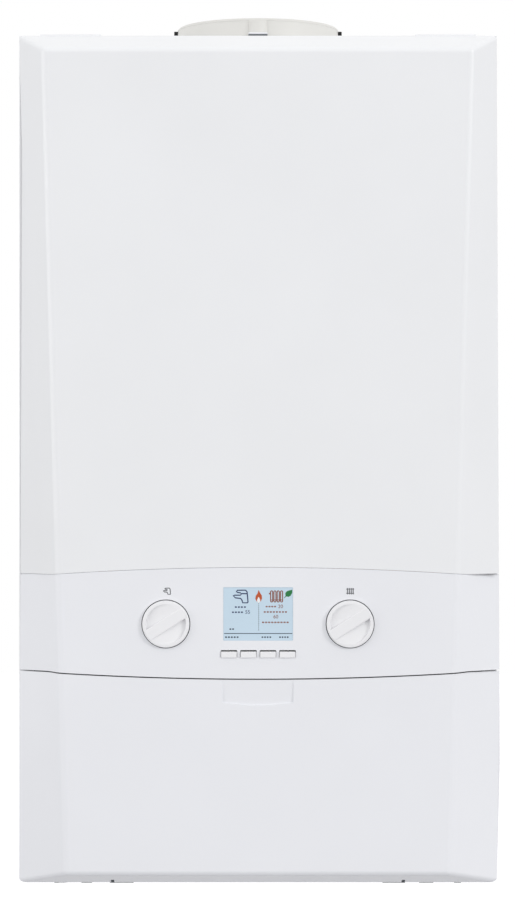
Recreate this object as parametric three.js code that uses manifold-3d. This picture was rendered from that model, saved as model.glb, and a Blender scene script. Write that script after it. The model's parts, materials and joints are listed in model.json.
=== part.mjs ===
// Wall-hung combi boiler, built as separate pieces. Millimetres, +Z up, front facing -Y.
// Inside the boiler group x runs across from the centre line, y = 0 is the wall and
// z = 0 is the underside of the casing. The group is then lowered so that the model's
// origin is the centre of the wall bracket's rear face.
import * as THREE from 'three';
import { mergeVertices } from 'three/addons/utils/BufferGeometryUtils.js';
import Module from 'manifold-3d';

const wasm = await Module();
wasm.setup();

// ---------------------------------------------------------------- driving dimensions

const SEAT = 0.3;              // gap between two pieces that touch
const RUN = 0.35;              // radial running clearance of a pin or spindle
const BITE = 0.5;              // how far a joined or cutting shape reaches past a face
const PIN_SIDES = 12;
const KNOB_SIDES = 32;
const POST_SIDES = 8;
const FULL_TURN = 360;

// Casing
const CASE_W = 395;
const CASE_H = 700;
const CASE_D = 278;
const BEVEL_D = 27;            // how far the front shells stand before the side panels
const CREASE_TOP_IN = 21.5;    // the flat face stops this far inside the casing at its top
const CREASE_FOOT_IN = 40.5;   // and this far at its foot
const CREASE_TOP = CASE_W / 2 - CREASE_TOP_IN;
const CREASE_FOOT = CASE_W / 2 - CREASE_FOOT_IN;
const BEVEL_TOP = 14;          // height of the sloping strip above the flat face
const BEVEL_FOOT = 10;         // height of the sloping strip below the flat face
const SHEET = 1.2;             // steel of the side, top and bottom panels
const SHELL_T = 1.8;           // wall of the front shells
const WALL_GAP = 1;            // the panels stop just short of the wall
const PANEL_LIP = 12;          // inward flange of the panels
const SHELL_GAP = 1.5;          // rear edge of the front shells to the panels

// The two bowed gaps that split the front into cover, fascia and door
const SPLIT_GAP = 1;
const UPPER_SPLIT_Z = 255;
const UPPER_SPLIT_RISE = 6;
const LOWER_SPLIT_Z = 175.5;
const LOWER_SPLIT_DROP = 5.5;
const SPLIT_END = 4;           // the bow ends this far inside the face's top corner
const SPLIT_HALF_SPAN = CREASE_TOP - SPLIT_END;

// Wall bracket and back panel
const BRACKET_W = 300;
const BRACKET_H = 50;
const BRACKET_T = 3;
const HANG_DROP = 60;          // bracket centre below the casing's top
const HANG_Z = CASE_H - HANG_DROP;
const HOOK_X = 105;
const HOOK_W = 30;
const HOOK_REACH = 12;
const HOOK_LIP = 9;
const HOOK_SIDE = 2;           // play beside the hook in its slot
const SLOT_DROP = 14;
const BACK_Y = 5.5;
const BACK_T = 1.5;
const BACK_RIM = 14;

// Control fascia: display, keys and knobs
const KNOB_X = 75.3;
const KNOB_Z = 215.2;
const KNOB_R = 20.5;
const KNOB_RING = 0.6;
const KNOB_STAND = 3.2;        // knob rim in front of the fascia
const KNOB_DEPTH = 5;
const GRIP_W = 8.7;
const GRIP_STAND = 4.2;
const GRIP_LEAN = 33;          // degrees above level
const SCOOP_DEPTH = 1.6;
const KNOB_EDGE = 0.8;         // chamfer round the knob
const KNOB_RIM = 2.2;          // rim left outside the scooped sides
const SPINDLE_R = 3;
const DISPLAY_W = 57;
const DISPLAY_H = 44;
const DISPLAY_Z = 223.2;
const LENS_T = 1.4;
const MODULE_LIP = 1.5;        // display module beyond its window
const KEY_COUNT = 4;
const KEY_PITCH = 16;
const KEY_W = 13.3;
const KEY_H = 6.2;
const KEY_Z = 190.2;
const KEY_STAND = 1.4;
const KEY_TRAVEL = 1;
const KEY_PLAY = 0.4;
const KEY_FLANGE = 0.8;
const KEY_FLANGE_T = 0.9;
const KEY_STEM = 3.2;
const KEY_FEEL = 0.3;          // left between stem and switch at full travel

// Control box behind the fascia
const POD_W = 260;
const POD_Z = 184.5;
const POD_H = 50;
const POD_D = 56;              // rear of the box behind the casing's front
const POD_REAR_Y = CASE_D - POD_D;
const POD_WALL = 2;
const POD_STAND = 1.8;         // fascia's back to the box's front
const BOARD_T = 1.6;
const BOARD_SET = 31;          // board behind the casing's front
const BOARD_Y = CASE_D - BOARD_SET;
const BOARD_MARGIN = 3;
const SWITCH_H = 4.2;
const SWITCH_W = 6;
const ENCODER_W = 14;
const ENCODER_D = 7;
const DISPLAY_MODULE_D = 9;

// Hinges
const ROD_R = 1.5;
const EYE_WALL = 1.8;
const PIN_R = 1.2;
const PIN_EYE_WALL = 1.2;
const POD_AXIS_SET = 3.8;
const POD_AXIS_Y = CASE_D - POD_AXIS_SET;
const POD_AXIS_Z = 183.8;
const POD_ARM_IN = 7;
const POD_ARM_X = CREASE_FOOT - POD_ARM_IN;
const ARM_T = 2;
const EAR_T = 4;
const PIN_POCKET = 1;          // thinning of the fascia in front of the panel's hinge eyes
const RAIL_H = 16;
const RAIL_D = 8;
const DOOR_AXIS_SET = 22;
const DOOR_AXIS_Y = CASE_D - DOOR_AXIS_SET;
const DOOR_AXIS_Z = 8;
const DOOR_ARM_X = 120;
const DOOR_SLOT_REACH = 8;    // slot in the door's foot in front of its hinge axis
const RELIEF_D = 7;            // corner cut from the side panels for the swinging door
const RELIEF_H = 14;

// Cover hooks that rest on the casing's top
const COVER_HOOK_IN = 21;
const COVER_HOOK_X = CREASE_TOP - COVER_HOOK_IN;
const COVER_HOOK_W = 50;
const COVER_HOOK_REACH = 15;
const COVER_HOOK_T = 1.3;

// Finger recess of the door
const RECESS_W = 58;
const RECESS_FOOT_Z = 149;
const RECESS_SAG = 2.5;
const RECESS_D = 1.1;

// Flue
const FLUE_Y = CASE_D / 2;
const COLLAR_R = 68;
const COLLAR_RIM_R = 70;
const COLLAR_H = 29;           // collar above the casing's top
const COLLAR_TOP_Z = CASE_H + COLLAR_H;
const COLLAR_RIM_H = 3.5;
const COLLAR_BORE_R = 50;
const RIM_SLOPE = 1;
const RIB_R = 7.5;
const RIB_OUT = 2.5;
const RIB_FOOT = 5;
const FLUE_R = 30;
const FLUE_WALL = 1.6;
const FLUE_DROP = 7;           // inner duct below the collar's mouth
const FLUE_TOP_Z = COLLAR_TOP_Z - FLUE_DROP;
const SEAL_T = 1.5;
const SEAL_LUG = 3.4;
const SEAL_LUG_OUT = 72.6;
const SAMPLE_ANGLE = 60;
const SAMPLE_R = 5;
const SAMPLE_CAP_R = 7;
const SAMPLE_CAP_H = 9;
const SAMPLE_CAP_T = 4;

// Heat exchanger, burner and condensate
const HX_R = 105;
const HX_DROP = 245;           // exchanger's axis below the casing's top
const HX_Z = CASE_H - HX_DROP;
const HX_D = 108;
const HX_SET = 78;             // exchanger's front behind the casing's front
const HX_FRONT_Y = CASE_D - HX_SET;
const HX_REAR_Y = HX_FRONT_Y - HX_D;
const CHAMBER_R = 72;
const CHAMBER_DEPTH = 86;
const COIL_RIBS = 5;
const COIL_RIB_OUT = 3;
const FLUE_PORT_H = 18;
const FLUE_PORT_WALL = 4;
const HX_BRACKET_IN = 11.5;
const HX_BRACKET_X = CASE_W / 2 - HX_BRACKET_IN;
const HX_BRACKET_H = 30;
const HX_BRACKET_T = 5;
const WATER_PORT_R = 13;
const WATER_PORT_X = 40;
const WATER_PORT_IN = 28;
const WATER_PORT_Y = HX_REAR_Y + WATER_PORT_IN;
const WATER_PORT_DROP = 110;   // port faces below the exchanger's axis
const BURNER_R = 34;
const BURNER_L = 68;
const BURNER_WALL = 2;
const DOOR_PLATE_R = 86;
const DOOR_PLATE_T = 12;
const MIX_R = 16;
const MIX_FLANGE_R = 24;
const MIX_FLANGE_T = 4;
const ELECTRODE_X = 48;
const ELECTRODE_R = 5;
const ELECTRODE_L = 20;
const ELECTRODE_RISE = 34;
const TIP_R = 1.5;
const TIP_L = 30;
const SUMP_R = 28;
const SUMP_H = 24;
const SUMP_OUTLET_R = 9;
const SUMP_WALL = 2;
const SUMP_NECK = 4;
const SUMP_BAND = 6;
const CONDENSATE_R = 8;
const CONDENSATE_BEND = 14;
const CONDENSATE_STEPS = 14;
const SUMP_IN = 40;
const SUMP_Y = HX_FRONT_Y - SUMP_IN;
const DRAIN_BOSS_H = 3;
const TRAP_INLET_DROP = 26;
const TRAP_SIDE = 32.5;        // trap's axis inside the casing's side
const TRAP_SET = 73;           // and behind the casing's front
const TRAP_DROP = 129;         // trap's top below the exchanger's axis
const TRAP_X = CASE_W / 2 - TRAP_SIDE;
const TRAP_Y = CASE_D - TRAP_SET;
const TRAP_TOP_Z = HX_Z - TRAP_DROP;
const TRAP_H = 86;
const TRAP_R = 23;
const TRAP_EDGE = 3;
const DRAIN_R = 9;
const DRAIN_END_Z = -6;

// Fan, venturi and gas
const FAN_SIDE = 79.5;
const FAN_SET = 128;
const FAN_DROP = 96;
const FAN_X = CASE_W / 2 - FAN_SIDE;
const FAN_Y = CASE_D - FAN_SET;
const FAN_Z = CASE_H - FAN_DROP;
const FAN_R = 52;
const FAN_H = 38;
const FAN_WALL = 2.5;
const IMPELLER_R = 42;
const IMPELLER_H = 20;
const BLADES = 8;
const BLADE_T = 2;
const BLADE_SETBACK = 1;
const HUB_R = 8;
const MOTOR_R = 34;
const MOTOR_H = 40;
const MOTOR_EDGE = 8;
const SHAFT_R = 3;
const OUTLET_IN = 34;          // outlet inward of the fan's axis
const OUTLET_X = FAN_X - OUTLET_IN;
const OUTLET_W = 34;
const OUTLET_REACH = 62;       // outlet in front of the fan's axis
const OUTLET_Y = FAN_Y + OUTLET_REACH;
const VENTURI_R = 22;
const VENTURI_H = 44;
const VENTURI_BORE_R = 15;
const VENTURI_THROAT_R = 10;
const VENTURI_WAIST = 3;
const VENTURI_RIM_H = 7;
const VALVE_SIDE = 37.5;
const VALVE_X = CASE_W / 2 - VALVE_SIDE;
const VALVE_Y = FAN_Y;
const VALVE_Z = 318;
const VALVE_W = 48;
const VALVE_D = 54;
const VALVE_H = 62;
const COIL_R = 15;
const COIL_H = 26;
const VALVE_BRACKET_W = 24;
const VALVE_BRACKET_T = 4;
const GAS_PIPE_R = 6;
const GAS_SUPPLY_R = 8;
const GAS_RUN_Z = 250;
const GAS_BEND = 10;
const GAS_STEPS = 16;
const GAS_SUPPLY_BEND = 16;
const GAS_SUPPLY_STEPS = 32;
const INLET_OUT = 4;
const UNION_H = 5;
const UNION_WALL = 3;
const DUCT_OUT = 28;
const DUCT_BEND = 24;
const DUCT_STEPS = 22;
const DUCT_SIDES = 10;

// Expansion vessel
const VESSEL_W = 320;
const VESSEL_H = 300;
const VESSEL_Z = 460;
const VESSEL_ROOM = 24;        // wall to vessel, and vessel to exchanger, together
const VESSEL_D = HX_REAR_Y - VESSEL_ROOM;
const VESSEL_R = 60;
const VESSEL_CROWN = 20;
const VESSEL_WALL = 1.5;
const CROWN_STEPS = 2;
const CORNER_STEPS = 3;
const VESSEL_RIM = 5;
const VESSEL_RIM_T = 4;
const VESSEL_PORT_X = 100;
const VESSEL_PORT_R = 8;
const VESSEL_PORT_H = 12;
const HOSE_R = 5;
const HOSE_HIGH_Z = 165;
const HOSE_LOW_Z = 145;
const HOSE_END_Y = 77;
const HOSE_BEND = 14;
const HOSE_STEPS = 18;

// Hydraulics
const TAIL_Y = 95;
const TAIL_X = 130;
const TAIL_STEP = 65;
const TAIL_R = 11;
const SMALL_TAIL_R = 7.5;
const TAIL_WALL = 2;
const TAIL_END_Z = -22;
const NUT_SHARE = 1.5;         // nut across corners to pipe
const NUT_H = 12;
const NUT_SIDES = 6;
const NUT_Z = 8;
const MANIFOLD_W = 115;
const MANIFOLD_IN_X = 50;
const MANIFOLD_REAR_Y = 70;
const MANIFOLD_D = 60;
const MANIFOLD_Z = 35;
const MANIFOLD_H = 80;
const PLATE_HX_W = 190;
const PLATE_HX_D = 44;
const PLATE_HX_Z = 42;
const PLATE_HX_H = 68;
const PLATE_HX_R = 8;
const PLATE_COUNT = 6;
const PLATE_RELIEF = 1.4;
const PUMP_X = 122;
const PUMP_Z = 165;
const PUMP_R = 43;
const PUMP_REAR_Y = 86;
const PUMP_D = 38;
const PUMP_WALL = 4;
const PUMP_IMPELLER_R = 30;
const PUMP_MOTOR_R = 39;
const PUMP_MOTOR_D = 66;
const PUMP_FINS = 12;
const FIN_DEPTH = 3;
const FIN_END = 9;
const FIN_GAP = 4;
const PUMP_SHAFT_R = 4;
const PUMP_IMPELLER_D = 16;
const PUMP_PORT_OUT = 6;
const PORT_WALL = 3;
const VANES = 6;
const FOOT_R = 8;
const PIPE_R = 10;
const PIPE_BEND = 20;
const PIPE_STEPS = 22;
const RETURN_BEND_SHARE = 0.375;  // of the way down from the exchanger's port to the pump's
const FLOW_BEND_DROP = 60;
const FLOW_X = 132;
const ACTUATOR_W = 44;
const ACTUATOR_D = 52;
const ACTUATOR_H = 58;
const ACTUATOR_X = 130;
const ACTUATOR_NECK = 10;
const ACTUATOR_NECK_R = 18;
const ACTUATOR_RISE = 10;
const RELIEF_X = 132;
const RELIEF_Z = 75;
const RELIEF_R = 11;
const RELIEF_KNOB_R = 15;
const RELIEF_BODY_D = 22;
const RELIEF_KNOB_D = 14;
const VENT_X = 62;
const VENT_R = 13;
const VENT_H = 46;
const VENT_BOSS_R = 9;
const VENT_BOSS_H = 6;
const VENT_EDGE = 2;
const VENT_CAP_R = 6.5;
const VENT_CAP_H = 8;
const VENT_BOSS_DROP = 4;

// Bottom tray
const TRAY_Z = 4;
const TRAY_SET = 40;
const TRAY_FRONT_Y = CASE_D - TRAY_SET;
const TRAY_LIP = 8;
const HOLE_PLAY = 3;

// ---------------------------------------------------------------- worked-out places

const HALF_W = CASE_W / 2;
const FRONT_Y = -CASE_D;
const SHELL_REAR_Y = FRONT_Y + BEVEL_D;
const PANEL_FRONT_Y = SHELL_REAR_Y + SHELL_GAP;
const FACE_BACK_Y = FRONT_Y + SHELL_T;
const FACE_TOP_Z = CASE_H - BEVEL_TOP;
const INNER_HALF_W = HALF_W - SHEET;
const BACK_FRONT_Y = -BACK_Y - BACK_T;
const BOX_FRONT_Y = FACE_BACK_Y + POD_STAND;
const ROD_EYE_R = ROD_R + RUN + EYE_WALL;
const PIN_EYE_R = PIN_R + SEAT + PIN_EYE_WALL;
const earPlace = (armX) => armX + ARM_T / 2 + SEAT + EAR_T / 2;
const pinReach = (armX) => earPlace(armX) + EAR_T / 2;

// ---------------------------------------------------------------- finishes

const finish = (color, roughness, metalness) =>
  new THREE.MeshStandardMaterial({ color, roughness, metalness });
const FINISH = {
  whitePaint: finish(0xebecee, 0.45, 0),
  whitePlastic: finish(0xebecef, 0.5, 0),
  fluePlastic: finish(0xe1e0dc, 0.5, 0),
  rubber: finish(0x141414, 0.8, 0),
  zincSheet: finish(0xb4b8ba, 0.45, 0.8),
  stainless: finish(0xb9bbbd, 0.3, 0.9),
  castAluminium: finish(0x9b9ea1, 0.6, 0.8),
  brass: finish(0xb59448, 0.35, 0.9),
  copper: finish(0xb5673c, 0.35, 0.9),
  blackPlastic: finish(0x242527, 0.6, 0),
  greyPlastic: finish(0x6b7075, 0.6, 0),
  redPaint: finish(0xb0342a, 0.5, 0),
  board: finish(0x2f6b45, 0.6, 0),
  ceramic: finish(0xe9e4d8, 0.4, 0),
  screen: finish(0xc7e1eb, 0.2, 0),
};

// ---------------------------------------------------------------- solids

// A closed three.js geometry as a solid: shared corners merged, empty triangles dropped.
function solid(geometry) {
  const bare = geometry.clone();
  bare.deleteAttribute('normal');
  bare.deleteAttribute('uv');
  const merged = mergeVertices(bare, 1e-4);
  const index = Array.from(merged.index.array);
  const points = merged.attributes.position;
  const corner = [0, 1, 2].map(() => new THREE.Vector3());
  const faces = [];
  let volume = 0;
  for (let i = 0; i < index.length; i += 3) {
    const face = index.slice(i, i + 3);
    if (new Set(face).size < 3) continue;
    face.forEach((v, k) => corner[k].fromBufferAttribute(points, v));
    volume += corner[0].dot(corner[1].clone().cross(corner[2]));
    faces.push(face);
  }
  const outward = volume < 0 ? faces.map((face) => face.toReversed()) : faces;
  return new wasm.Manifold(new wasm.Mesh({
    numProp: 3,
    vertProperties: new Float32Array(points.array),
    triVerts: new Uint32Array(outward.flat()),
  }));
}

// A solid back as a three.js geometry.
function geometryOf(body) {
  const mesh = body.getMesh();
  const geometry = new THREE.BufferGeometry();
  geometry.setAttribute('position', new THREE.BufferAttribute(mesh.vertProperties, 3));
  geometry.setIndex(new THREE.BufferAttribute(mesh.triVerts, 1));
  geometry.computeVertexNormals();
  return geometry;
}

const joined = (...bodies) => bodies.reduce((sum, body) => sum.add(body));
const cut = (body, ...tools) => tools.reduce((rest, tool) => rest.subtract(tool), body);
const moved = (body, x, y, z) => body.translate([x, y, z]);
const mirrored = (body) => body.mirror([1, 0, 0]);

// A box between two values on each axis.
function box([x0, x1], [y0, y1], [z0, z1]) {
  const geometry = new THREE.BoxGeometry(x1 - x0, y1 - y0, z1 - z0);
  return solid(geometry.translate((x0 + x1) / 2, (y0 + y1) / 2, (z0 + z1) / 2));
}

const centred = (middle, size) => [middle - size / 2, middle + size / 2];

const TURN = {
  x: (geometry) => geometry.rotateZ(-Math.PI / 2),
  y: (geometry) => geometry,
  z: (geometry) => geometry.rotateX(Math.PI / 2),
};

// Sides of a round shape: more on a larger one.
const sidesOf = (r) => 2 * Math.round(1.5 * Math.sqrt(r)) + 4;

// A round bar of radius r along an axis, between two values on that axis.
function bar(axis, r, [from, to], [x, y, z] = [0, 0, 0], sides = sidesOf(r)) {
  const geometry = new THREE.CylinderGeometry(r, r, to - from, sides);
  TURN[axis](geometry);
  const middle = (from + to) / 2;
  geometry.translate(
    axis === 'x' ? middle : x, axis === 'y' ? middle : y, axis === 'z' ? middle : z);
  return solid(geometry);
}

// A profile of [radius, height] points turned about the z axis.
function turned(profile, sides = sidesOf(Math.max(...profile.map(([r]) => r)))) {
  const points = profile.map(([r, h]) => new THREE.Vector2(r, h));
  const closed = profile[0][0] > 0 ? [...points, points[0].clone()] : points;
  return solid(new THREE.LatheGeometry(closed, sides).rotateX(Math.PI / 2));
}

// A shape drawn in x and z, pushed along y between two values.
function plateXZ(shape, [y0, y1], curveSegments = 8) {
  const geometry = new THREE.ExtrudeGeometry(
    shape, { depth: y1 - y0, bevelEnabled: false, curveSegments });
  return solid(geometry.rotateX(Math.PI / 2).translate(0, y1, 0));
}

const vector = ([x, y, z]) => new THREE.Vector3(x, y, z);

// A round pipe through corner points, each corner turned with a bend of the given length.
function pipe(corners, r, bend, steps, sides = 8) {
  const points = corners.map(vector);
  const path = new THREE.CurvePath();
  let start = points[0];
  for (let i = 1; i < points.length - 1; i += 1) {
    const before = points[i].clone().lerp(points[i - 1], bend / points[i].distanceTo(points[i - 1]));
    const after = points[i].clone().lerp(points[i + 1], bend / points[i].distanceTo(points[i + 1]));
    path.add(new THREE.LineCurve3(start, before));
    path.add(new THREE.QuadraticBezierCurve3(before, points[i], after));
    start = after;
  }
  path.add(new THREE.LineCurve3(start, points[points.length - 1]));
  const section = new THREE.Shape().absarc(0, 0, r, 0, 2 * Math.PI);
  const options = { steps, extrudePath: path, curveSegments: Math.round(sides / 2) };
  return solid(new THREE.ExtrudeGeometry(section, options));
}

// A rectangle with round corners, drawn about (x, y).
function rounded(x, y, w, h, r) {
  const shape = new THREE.Shape();
  const [left, right, low, high] = [x - w / 2, x + w / 2, y - h / 2, y + h / 2];
  shape.moveTo(left + r, low);
  shape.lineTo(right - r, low);
  shape.absarc(right - r, low + r, r, -Math.PI / 2, 0);
  shape.lineTo(right, high - r);
  shape.absarc(right - r, high - r, r, 0, Math.PI / 2);
  shape.lineTo(left + r, high);
  shape.absarc(left + r, high - r, r, Math.PI / 2, Math.PI);
  shape.lineTo(left, low + r);
  shape.absarc(left + r, low + r, r, Math.PI, 1.5 * Math.PI);
  return shape;
}

const boiler = new THREE.Group();
boiler.position.z = -HANG_Z;

// Adds a named piece, made about its own middle and placed at (x, y, z).
function piece(name, body, material, [x, y, z] = [0, 0, 0]) {
  const mesh = new THREE.Mesh(geometryOf(body), material);
  mesh.name = name;
  mesh.position.set(x, y, z);
  boiler.add(mesh);
}

// ---------------------------------------------------------------- front shells

// The outline of the front at one height: half width of the flat face.
const creaseX = (z) =>
  CREASE_FOOT + (CREASE_TOP - CREASE_FOOT) * (z - BEVEL_FOOT) / (FACE_TOP_Z - BEVEL_FOOT);

// Everything inside the side bevels, inset by a wall; slices follow the leaning crease.
function sideBevelBlock(wall) {
  const SLICES = 6;
  const lean = HALF_W - (CREASE_TOP + CREASE_FOOT) / 2;
  const slant = Math.hypot(lean, BEVEL_D) / BEVEL_D;
  const rearX = HALF_W - wall * slant;
  const rearY = SHELL_REAR_Y + (wall > 0 ? BITE : 0);
  const positions = [];
  const index = [];
  for (let i = 0; i <= SLICES; i += 1) {
    const z = -BITE + (CASE_H + 2 * BITE) * i / SLICES;
    const faceX = creaseX(z) - wall * (slant - lean / BEVEL_D);
    const ring = [[-rearX, rearY], [-rearX, SHELL_REAR_Y], [-faceX, FRONT_Y + wall],
      [faceX, FRONT_Y + wall], [rearX, SHELL_REAR_Y], [rearX, rearY]];
    const corners = wall > 0 ? ring : ring.filter((_, k) => k !== 0 && k !== 5);
    corners.forEach(([x, y]) => positions.push(x, y, z));
  }
  const n = positions.length / 3 / (SLICES + 1);
  for (let i = 0; i < SLICES; i += 1) {
    for (let k = 0; k < n; k += 1) {
      const [a, b] = [i * n + k, i * n + (k + 1) % n];
      index.push(a, b, b + n, a, b + n, a + n);
    }
  }
  const top = SLICES * n;
  for (let k = 1; k < n - 1; k += 1) {
    index.push(0, k + 1, k, top, top + k, top + k + 1);
  }
  const geometry = new THREE.BufferGeometry();
  geometry.setAttribute('position', new THREE.Float32BufferAttribute(positions, 3));
  geometry.setIndex(index);
  return solid(geometry);
}

// Everything between the top and bottom bevels, inset by a wall.
function endBevelBlock(wall) {
  const rear = SHELL_REAR_Y + (wall > 0 ? 2 * BITE : 0);
  const inset = (rise) => wall * Math.hypot(rise, BEVEL_D) / BEVEL_D;
  const profile = new THREE.Shape([
    [rear, inset(BEVEL_FOOT)], [SHELL_REAR_Y, inset(BEVEL_FOOT)],
    [FRONT_Y, BEVEL_FOOT + inset(BEVEL_FOOT)], [FRONT_Y, FACE_TOP_Z - inset(BEVEL_TOP)],
    [SHELL_REAR_Y, CASE_H - inset(BEVEL_TOP)], [rear, CASE_H - inset(BEVEL_TOP)],
  ].map(([y, z]) => new THREE.Vector2(y, z)));
  const geometry = new THREE.ExtrudeGeometry(profile, { depth: CASE_W, bevelEnabled: false });
  geometry.translate(0, 0, -HALF_W).rotateX(Math.PI / 2).rotateZ(Math.PI / 2);
  return solid(geometry);
}

const shellBlock = (wall) => sideBevelBlock(wall).intersect(endBevelBlock(wall));
const frontShell = cut(shellBlock(0), shellBlock(SHELL_T));

// A band of the front between two bowed lines; each line is [height at sides, bow].
function bowedBand([lowZ, lowBow], [highZ, highBow]) {
  const ARC_STEPS = 10;
  const line = (z, bow) => {
    const points = [new THREE.Vector2(-CASE_W, z), new THREE.Vector2(-SPLIT_HALF_SPAN, z)];
    for (let i = 1; i < ARC_STEPS; i += 1) {
      const t = 2 * i / ARC_STEPS - 1;
      points.push(new THREE.Vector2(t * SPLIT_HALF_SPAN, z + bow * (1 - t * t)));
    }
    return [...points, new THREE.Vector2(SPLIT_HALF_SPAN, z), new THREE.Vector2(CASE_W, z)];
  };
  const shape = new THREE.Shape([...line(lowZ, lowBow), ...line(highZ, highBow).reverse()]);
  return plateXZ(shape, [FRONT_Y - BITE, SHELL_REAR_Y + 2 * BITE]);
}

const half = SPLIT_GAP / 2;
const UPPER = [UPPER_SPLIT_Z, UPPER_SPLIT_RISE];
const LOWER = [LOWER_SPLIT_Z, -LOWER_SPLIT_DROP];
const above = ([z, bow]) => [z + half, bow];
const below = ([z, bow]) => [z - half, bow];
const SKY = [CASE_H + BITE, 0];
const FLOOR = [-BITE, 0];

const COVER_AXIS_Y = SHELL_REAR_Y + COVER_HOOK_REACH;
const COVER_HOOK_Z = CASE_H + SEAT;

// A hook of the cover: rises behind its top edge and lies on the top panel.
function coverHook(x) {
  const across = centred(x, COVER_HOOK_W);
  const top = COVER_HOOK_Z + COVER_HOOK_T;
  const rise = box(across, [SHELL_REAR_Y - 2 * SHELL_T, SHELL_REAR_Y], [CASE_H - SHELL_T, top]);
  const tongue = box(across, [SHELL_REAR_Y - SHELL_T, COVER_AXIS_Y], [COVER_HOOK_Z, top]);
  return joined(rise, tongue);
}

function frontCover() {
  const shell = frontShell.intersect(bowedBand(above(UPPER), SKY));
  return joined(shell, coverHook(-COVER_HOOK_X), coverHook(COVER_HOOK_X));
}

// A hinge ear standing behind the face of a front shell.
function ear(x, reach, axisY, lowZ, axisZ) {
  const across = centred(x, EAR_T);
  const round = bar('x', reach, across, [0, axisY, axisZ], PIN_SIDES);
  const foot = box(across, [FACE_BACK_Y - BITE, axisY], [lowZ, axisZ + reach]);
  return joined(round, foot);
}

// Room for one hinge arm behind the fascia's face.
function pinPocket(x) {
  const play = PIN_POCKET / 2 + SEAT;
  return box(centred(x, ARM_T + 2 * play), [FACE_BACK_Y - PIN_POCKET, FACE_BACK_Y + BITE],
    [0, POD_AXIS_Z + PIN_EYE_R + SEAT]);
}

const keyPlaces = Array.from({ length: KEY_COUNT }, (_, i) => (i - (KEY_COUNT - 1) / 2) * KEY_PITCH);

function controlFascia() {
  const shell = frontShell.intersect(bowedBand(above(LOWER), below(UPPER)));
  const earX = earPlace(POD_ARM_X);
  const lowZ = POD_AXIS_Z - PIN_EYE_R;
  const ears = [-earX, earX].map((x) => ear(x, PIN_EYE_R, -POD_AXIS_Y, lowZ, POD_AXIS_Z));
  const through = [FRONT_Y - BITE, BOX_FRONT_Y];
  const knobHoles = [-KNOB_X, KNOB_X].map((x) =>
    bar('y', KNOB_R + KNOB_RING, through, [x, 0, KNOB_Z], KNOB_SIDES));
  const window = box(centred(0, DISPLAY_W), through, centred(DISPLAY_Z, DISPLAY_H));
  const slots = keyPlaces.map((x) =>
    box(centred(x, KEY_W + 2 * KEY_PLAY), through, centred(KEY_Z, KEY_H + 2 * KEY_PLAY)));
  const pockets = [-POD_ARM_X, POD_ARM_X].map(pinPocket);
  const bores = [-1, 1].map((side) => bar('x', PIN_R + SEAT,
    centred(side * POD_ARM_X, 2 * EAR_T + 2 * ARM_T), [0, -POD_AXIS_Y, POD_AXIS_Z], PIN_SIDES));
  const body = joined(cut(shell, ...pockets), ...ears).intersect(shellBlock(0));
  return cut(body, ...knobHoles, window, ...slots, ...bores);
}

// The shallow pocket under the door's top edge, with a slightly bowed foot.
function fingerRecess() {
  const top = LOWER_SPLIT_Z + BITE;
  const shape = new THREE.Shape();
  shape.moveTo(-RECESS_W / 2, top);
  shape.lineTo(-RECESS_W / 2, RECESS_FOOT_Z);
  shape.quadraticCurveTo(0, RECESS_FOOT_Z - 2 * RECESS_SAG, RECESS_W / 2, RECESS_FOOT_Z);
  shape.lineTo(RECESS_W / 2, top);
  return plateXZ(shape, [FRONT_Y - BITE, FRONT_Y + RECESS_D]);
}

function lowerDoor() {
  const shell = frontShell.intersect(bowedBand(FLOOR, below(LOWER)));
  const earX = earPlace(DOOR_ARM_X);
  const ears = [-earX, earX].map((x) => ear(x, ROD_EYE_R, -DOOR_AXIS_Y, 0, DOOR_AXIS_Z));
  const armSlots = [-DOOR_ARM_X, DOOR_ARM_X].map((x) => box(centred(x, ARM_T + 2 * SEAT),
    [-DOOR_AXIS_Y - DOOR_SLOT_REACH, SHELL_REAR_Y + BITE], [-BITE, DOOR_AXIS_Z]));
  const bore = bar('x', ROD_R + RUN, centred(0, 2 * (pinReach(DOOR_ARM_X) + SEAT)),
    [0, -DOOR_AXIS_Y, DOOR_AXIS_Z], PIN_SIDES);
  const body = joined(shell, ...ears).intersect(shellBlock(0));
  return cut(body, fingerRecess(), ...armSlots, bore);
}

piece('front_cover', frontCover(), FINISH.whitePaint);
piece('control_fascia', controlFascia(), FINISH.whitePlastic);
piece('lower_door', lowerDoor(), FINISH.whitePlastic);

// ---------------------------------------------------------------- chassis

// A folded side panel on the right: sheet with flanges at the rear, front, top and foot.
function sidePanel() {
  const outer = box([HALF_W - PANEL_LIP, HALF_W], [PANEL_FRONT_Y, -WALL_GAP], [0, CASE_H]);
  const room = box([HALF_W - 2 * PANEL_LIP, HALF_W - SHEET],
    [PANEL_FRONT_Y + SHEET, -WALL_GAP - SHEET], [SHEET, CASE_H - SHEET]);
  const rearWay = box([HALF_W - 2 * PANEL_LIP, HALF_W - SHEET],
    [-WALL_GAP - 2 * SHEET, 0], [SHEET, CASE_H - SHEET]);
  const relief = box([HALF_W - 2 * PANEL_LIP, HALF_W + BITE],
    [PANEL_FRONT_Y - BITE, PANEL_FRONT_Y + RELIEF_D], [-BITE, RELIEF_H]);
  return cut(outer, room, rearWay, relief);
}

// The top sheet, between the side panels, turned down at its front edge.
function topPanel() {
  const across = HALF_W - PANEL_LIP - SEAT;
  const outer = box([-across, across], [PANEL_FRONT_Y, -WALL_GAP], [CASE_H - PANEL_LIP, CASE_H]);
  const room = box([-CASE_W, CASE_W], [PANEL_FRONT_Y + SHEET, 0], [0, CASE_H - SHEET]);
  return cut(outer, room, bar('z', COLLAR_BORE_R, [0, CASE_H + BITE], [0, -FLUE_Y, 0]));
}

function hookPair(make) {
  return [-HOOK_X, HOOK_X].map(make);
}

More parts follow.
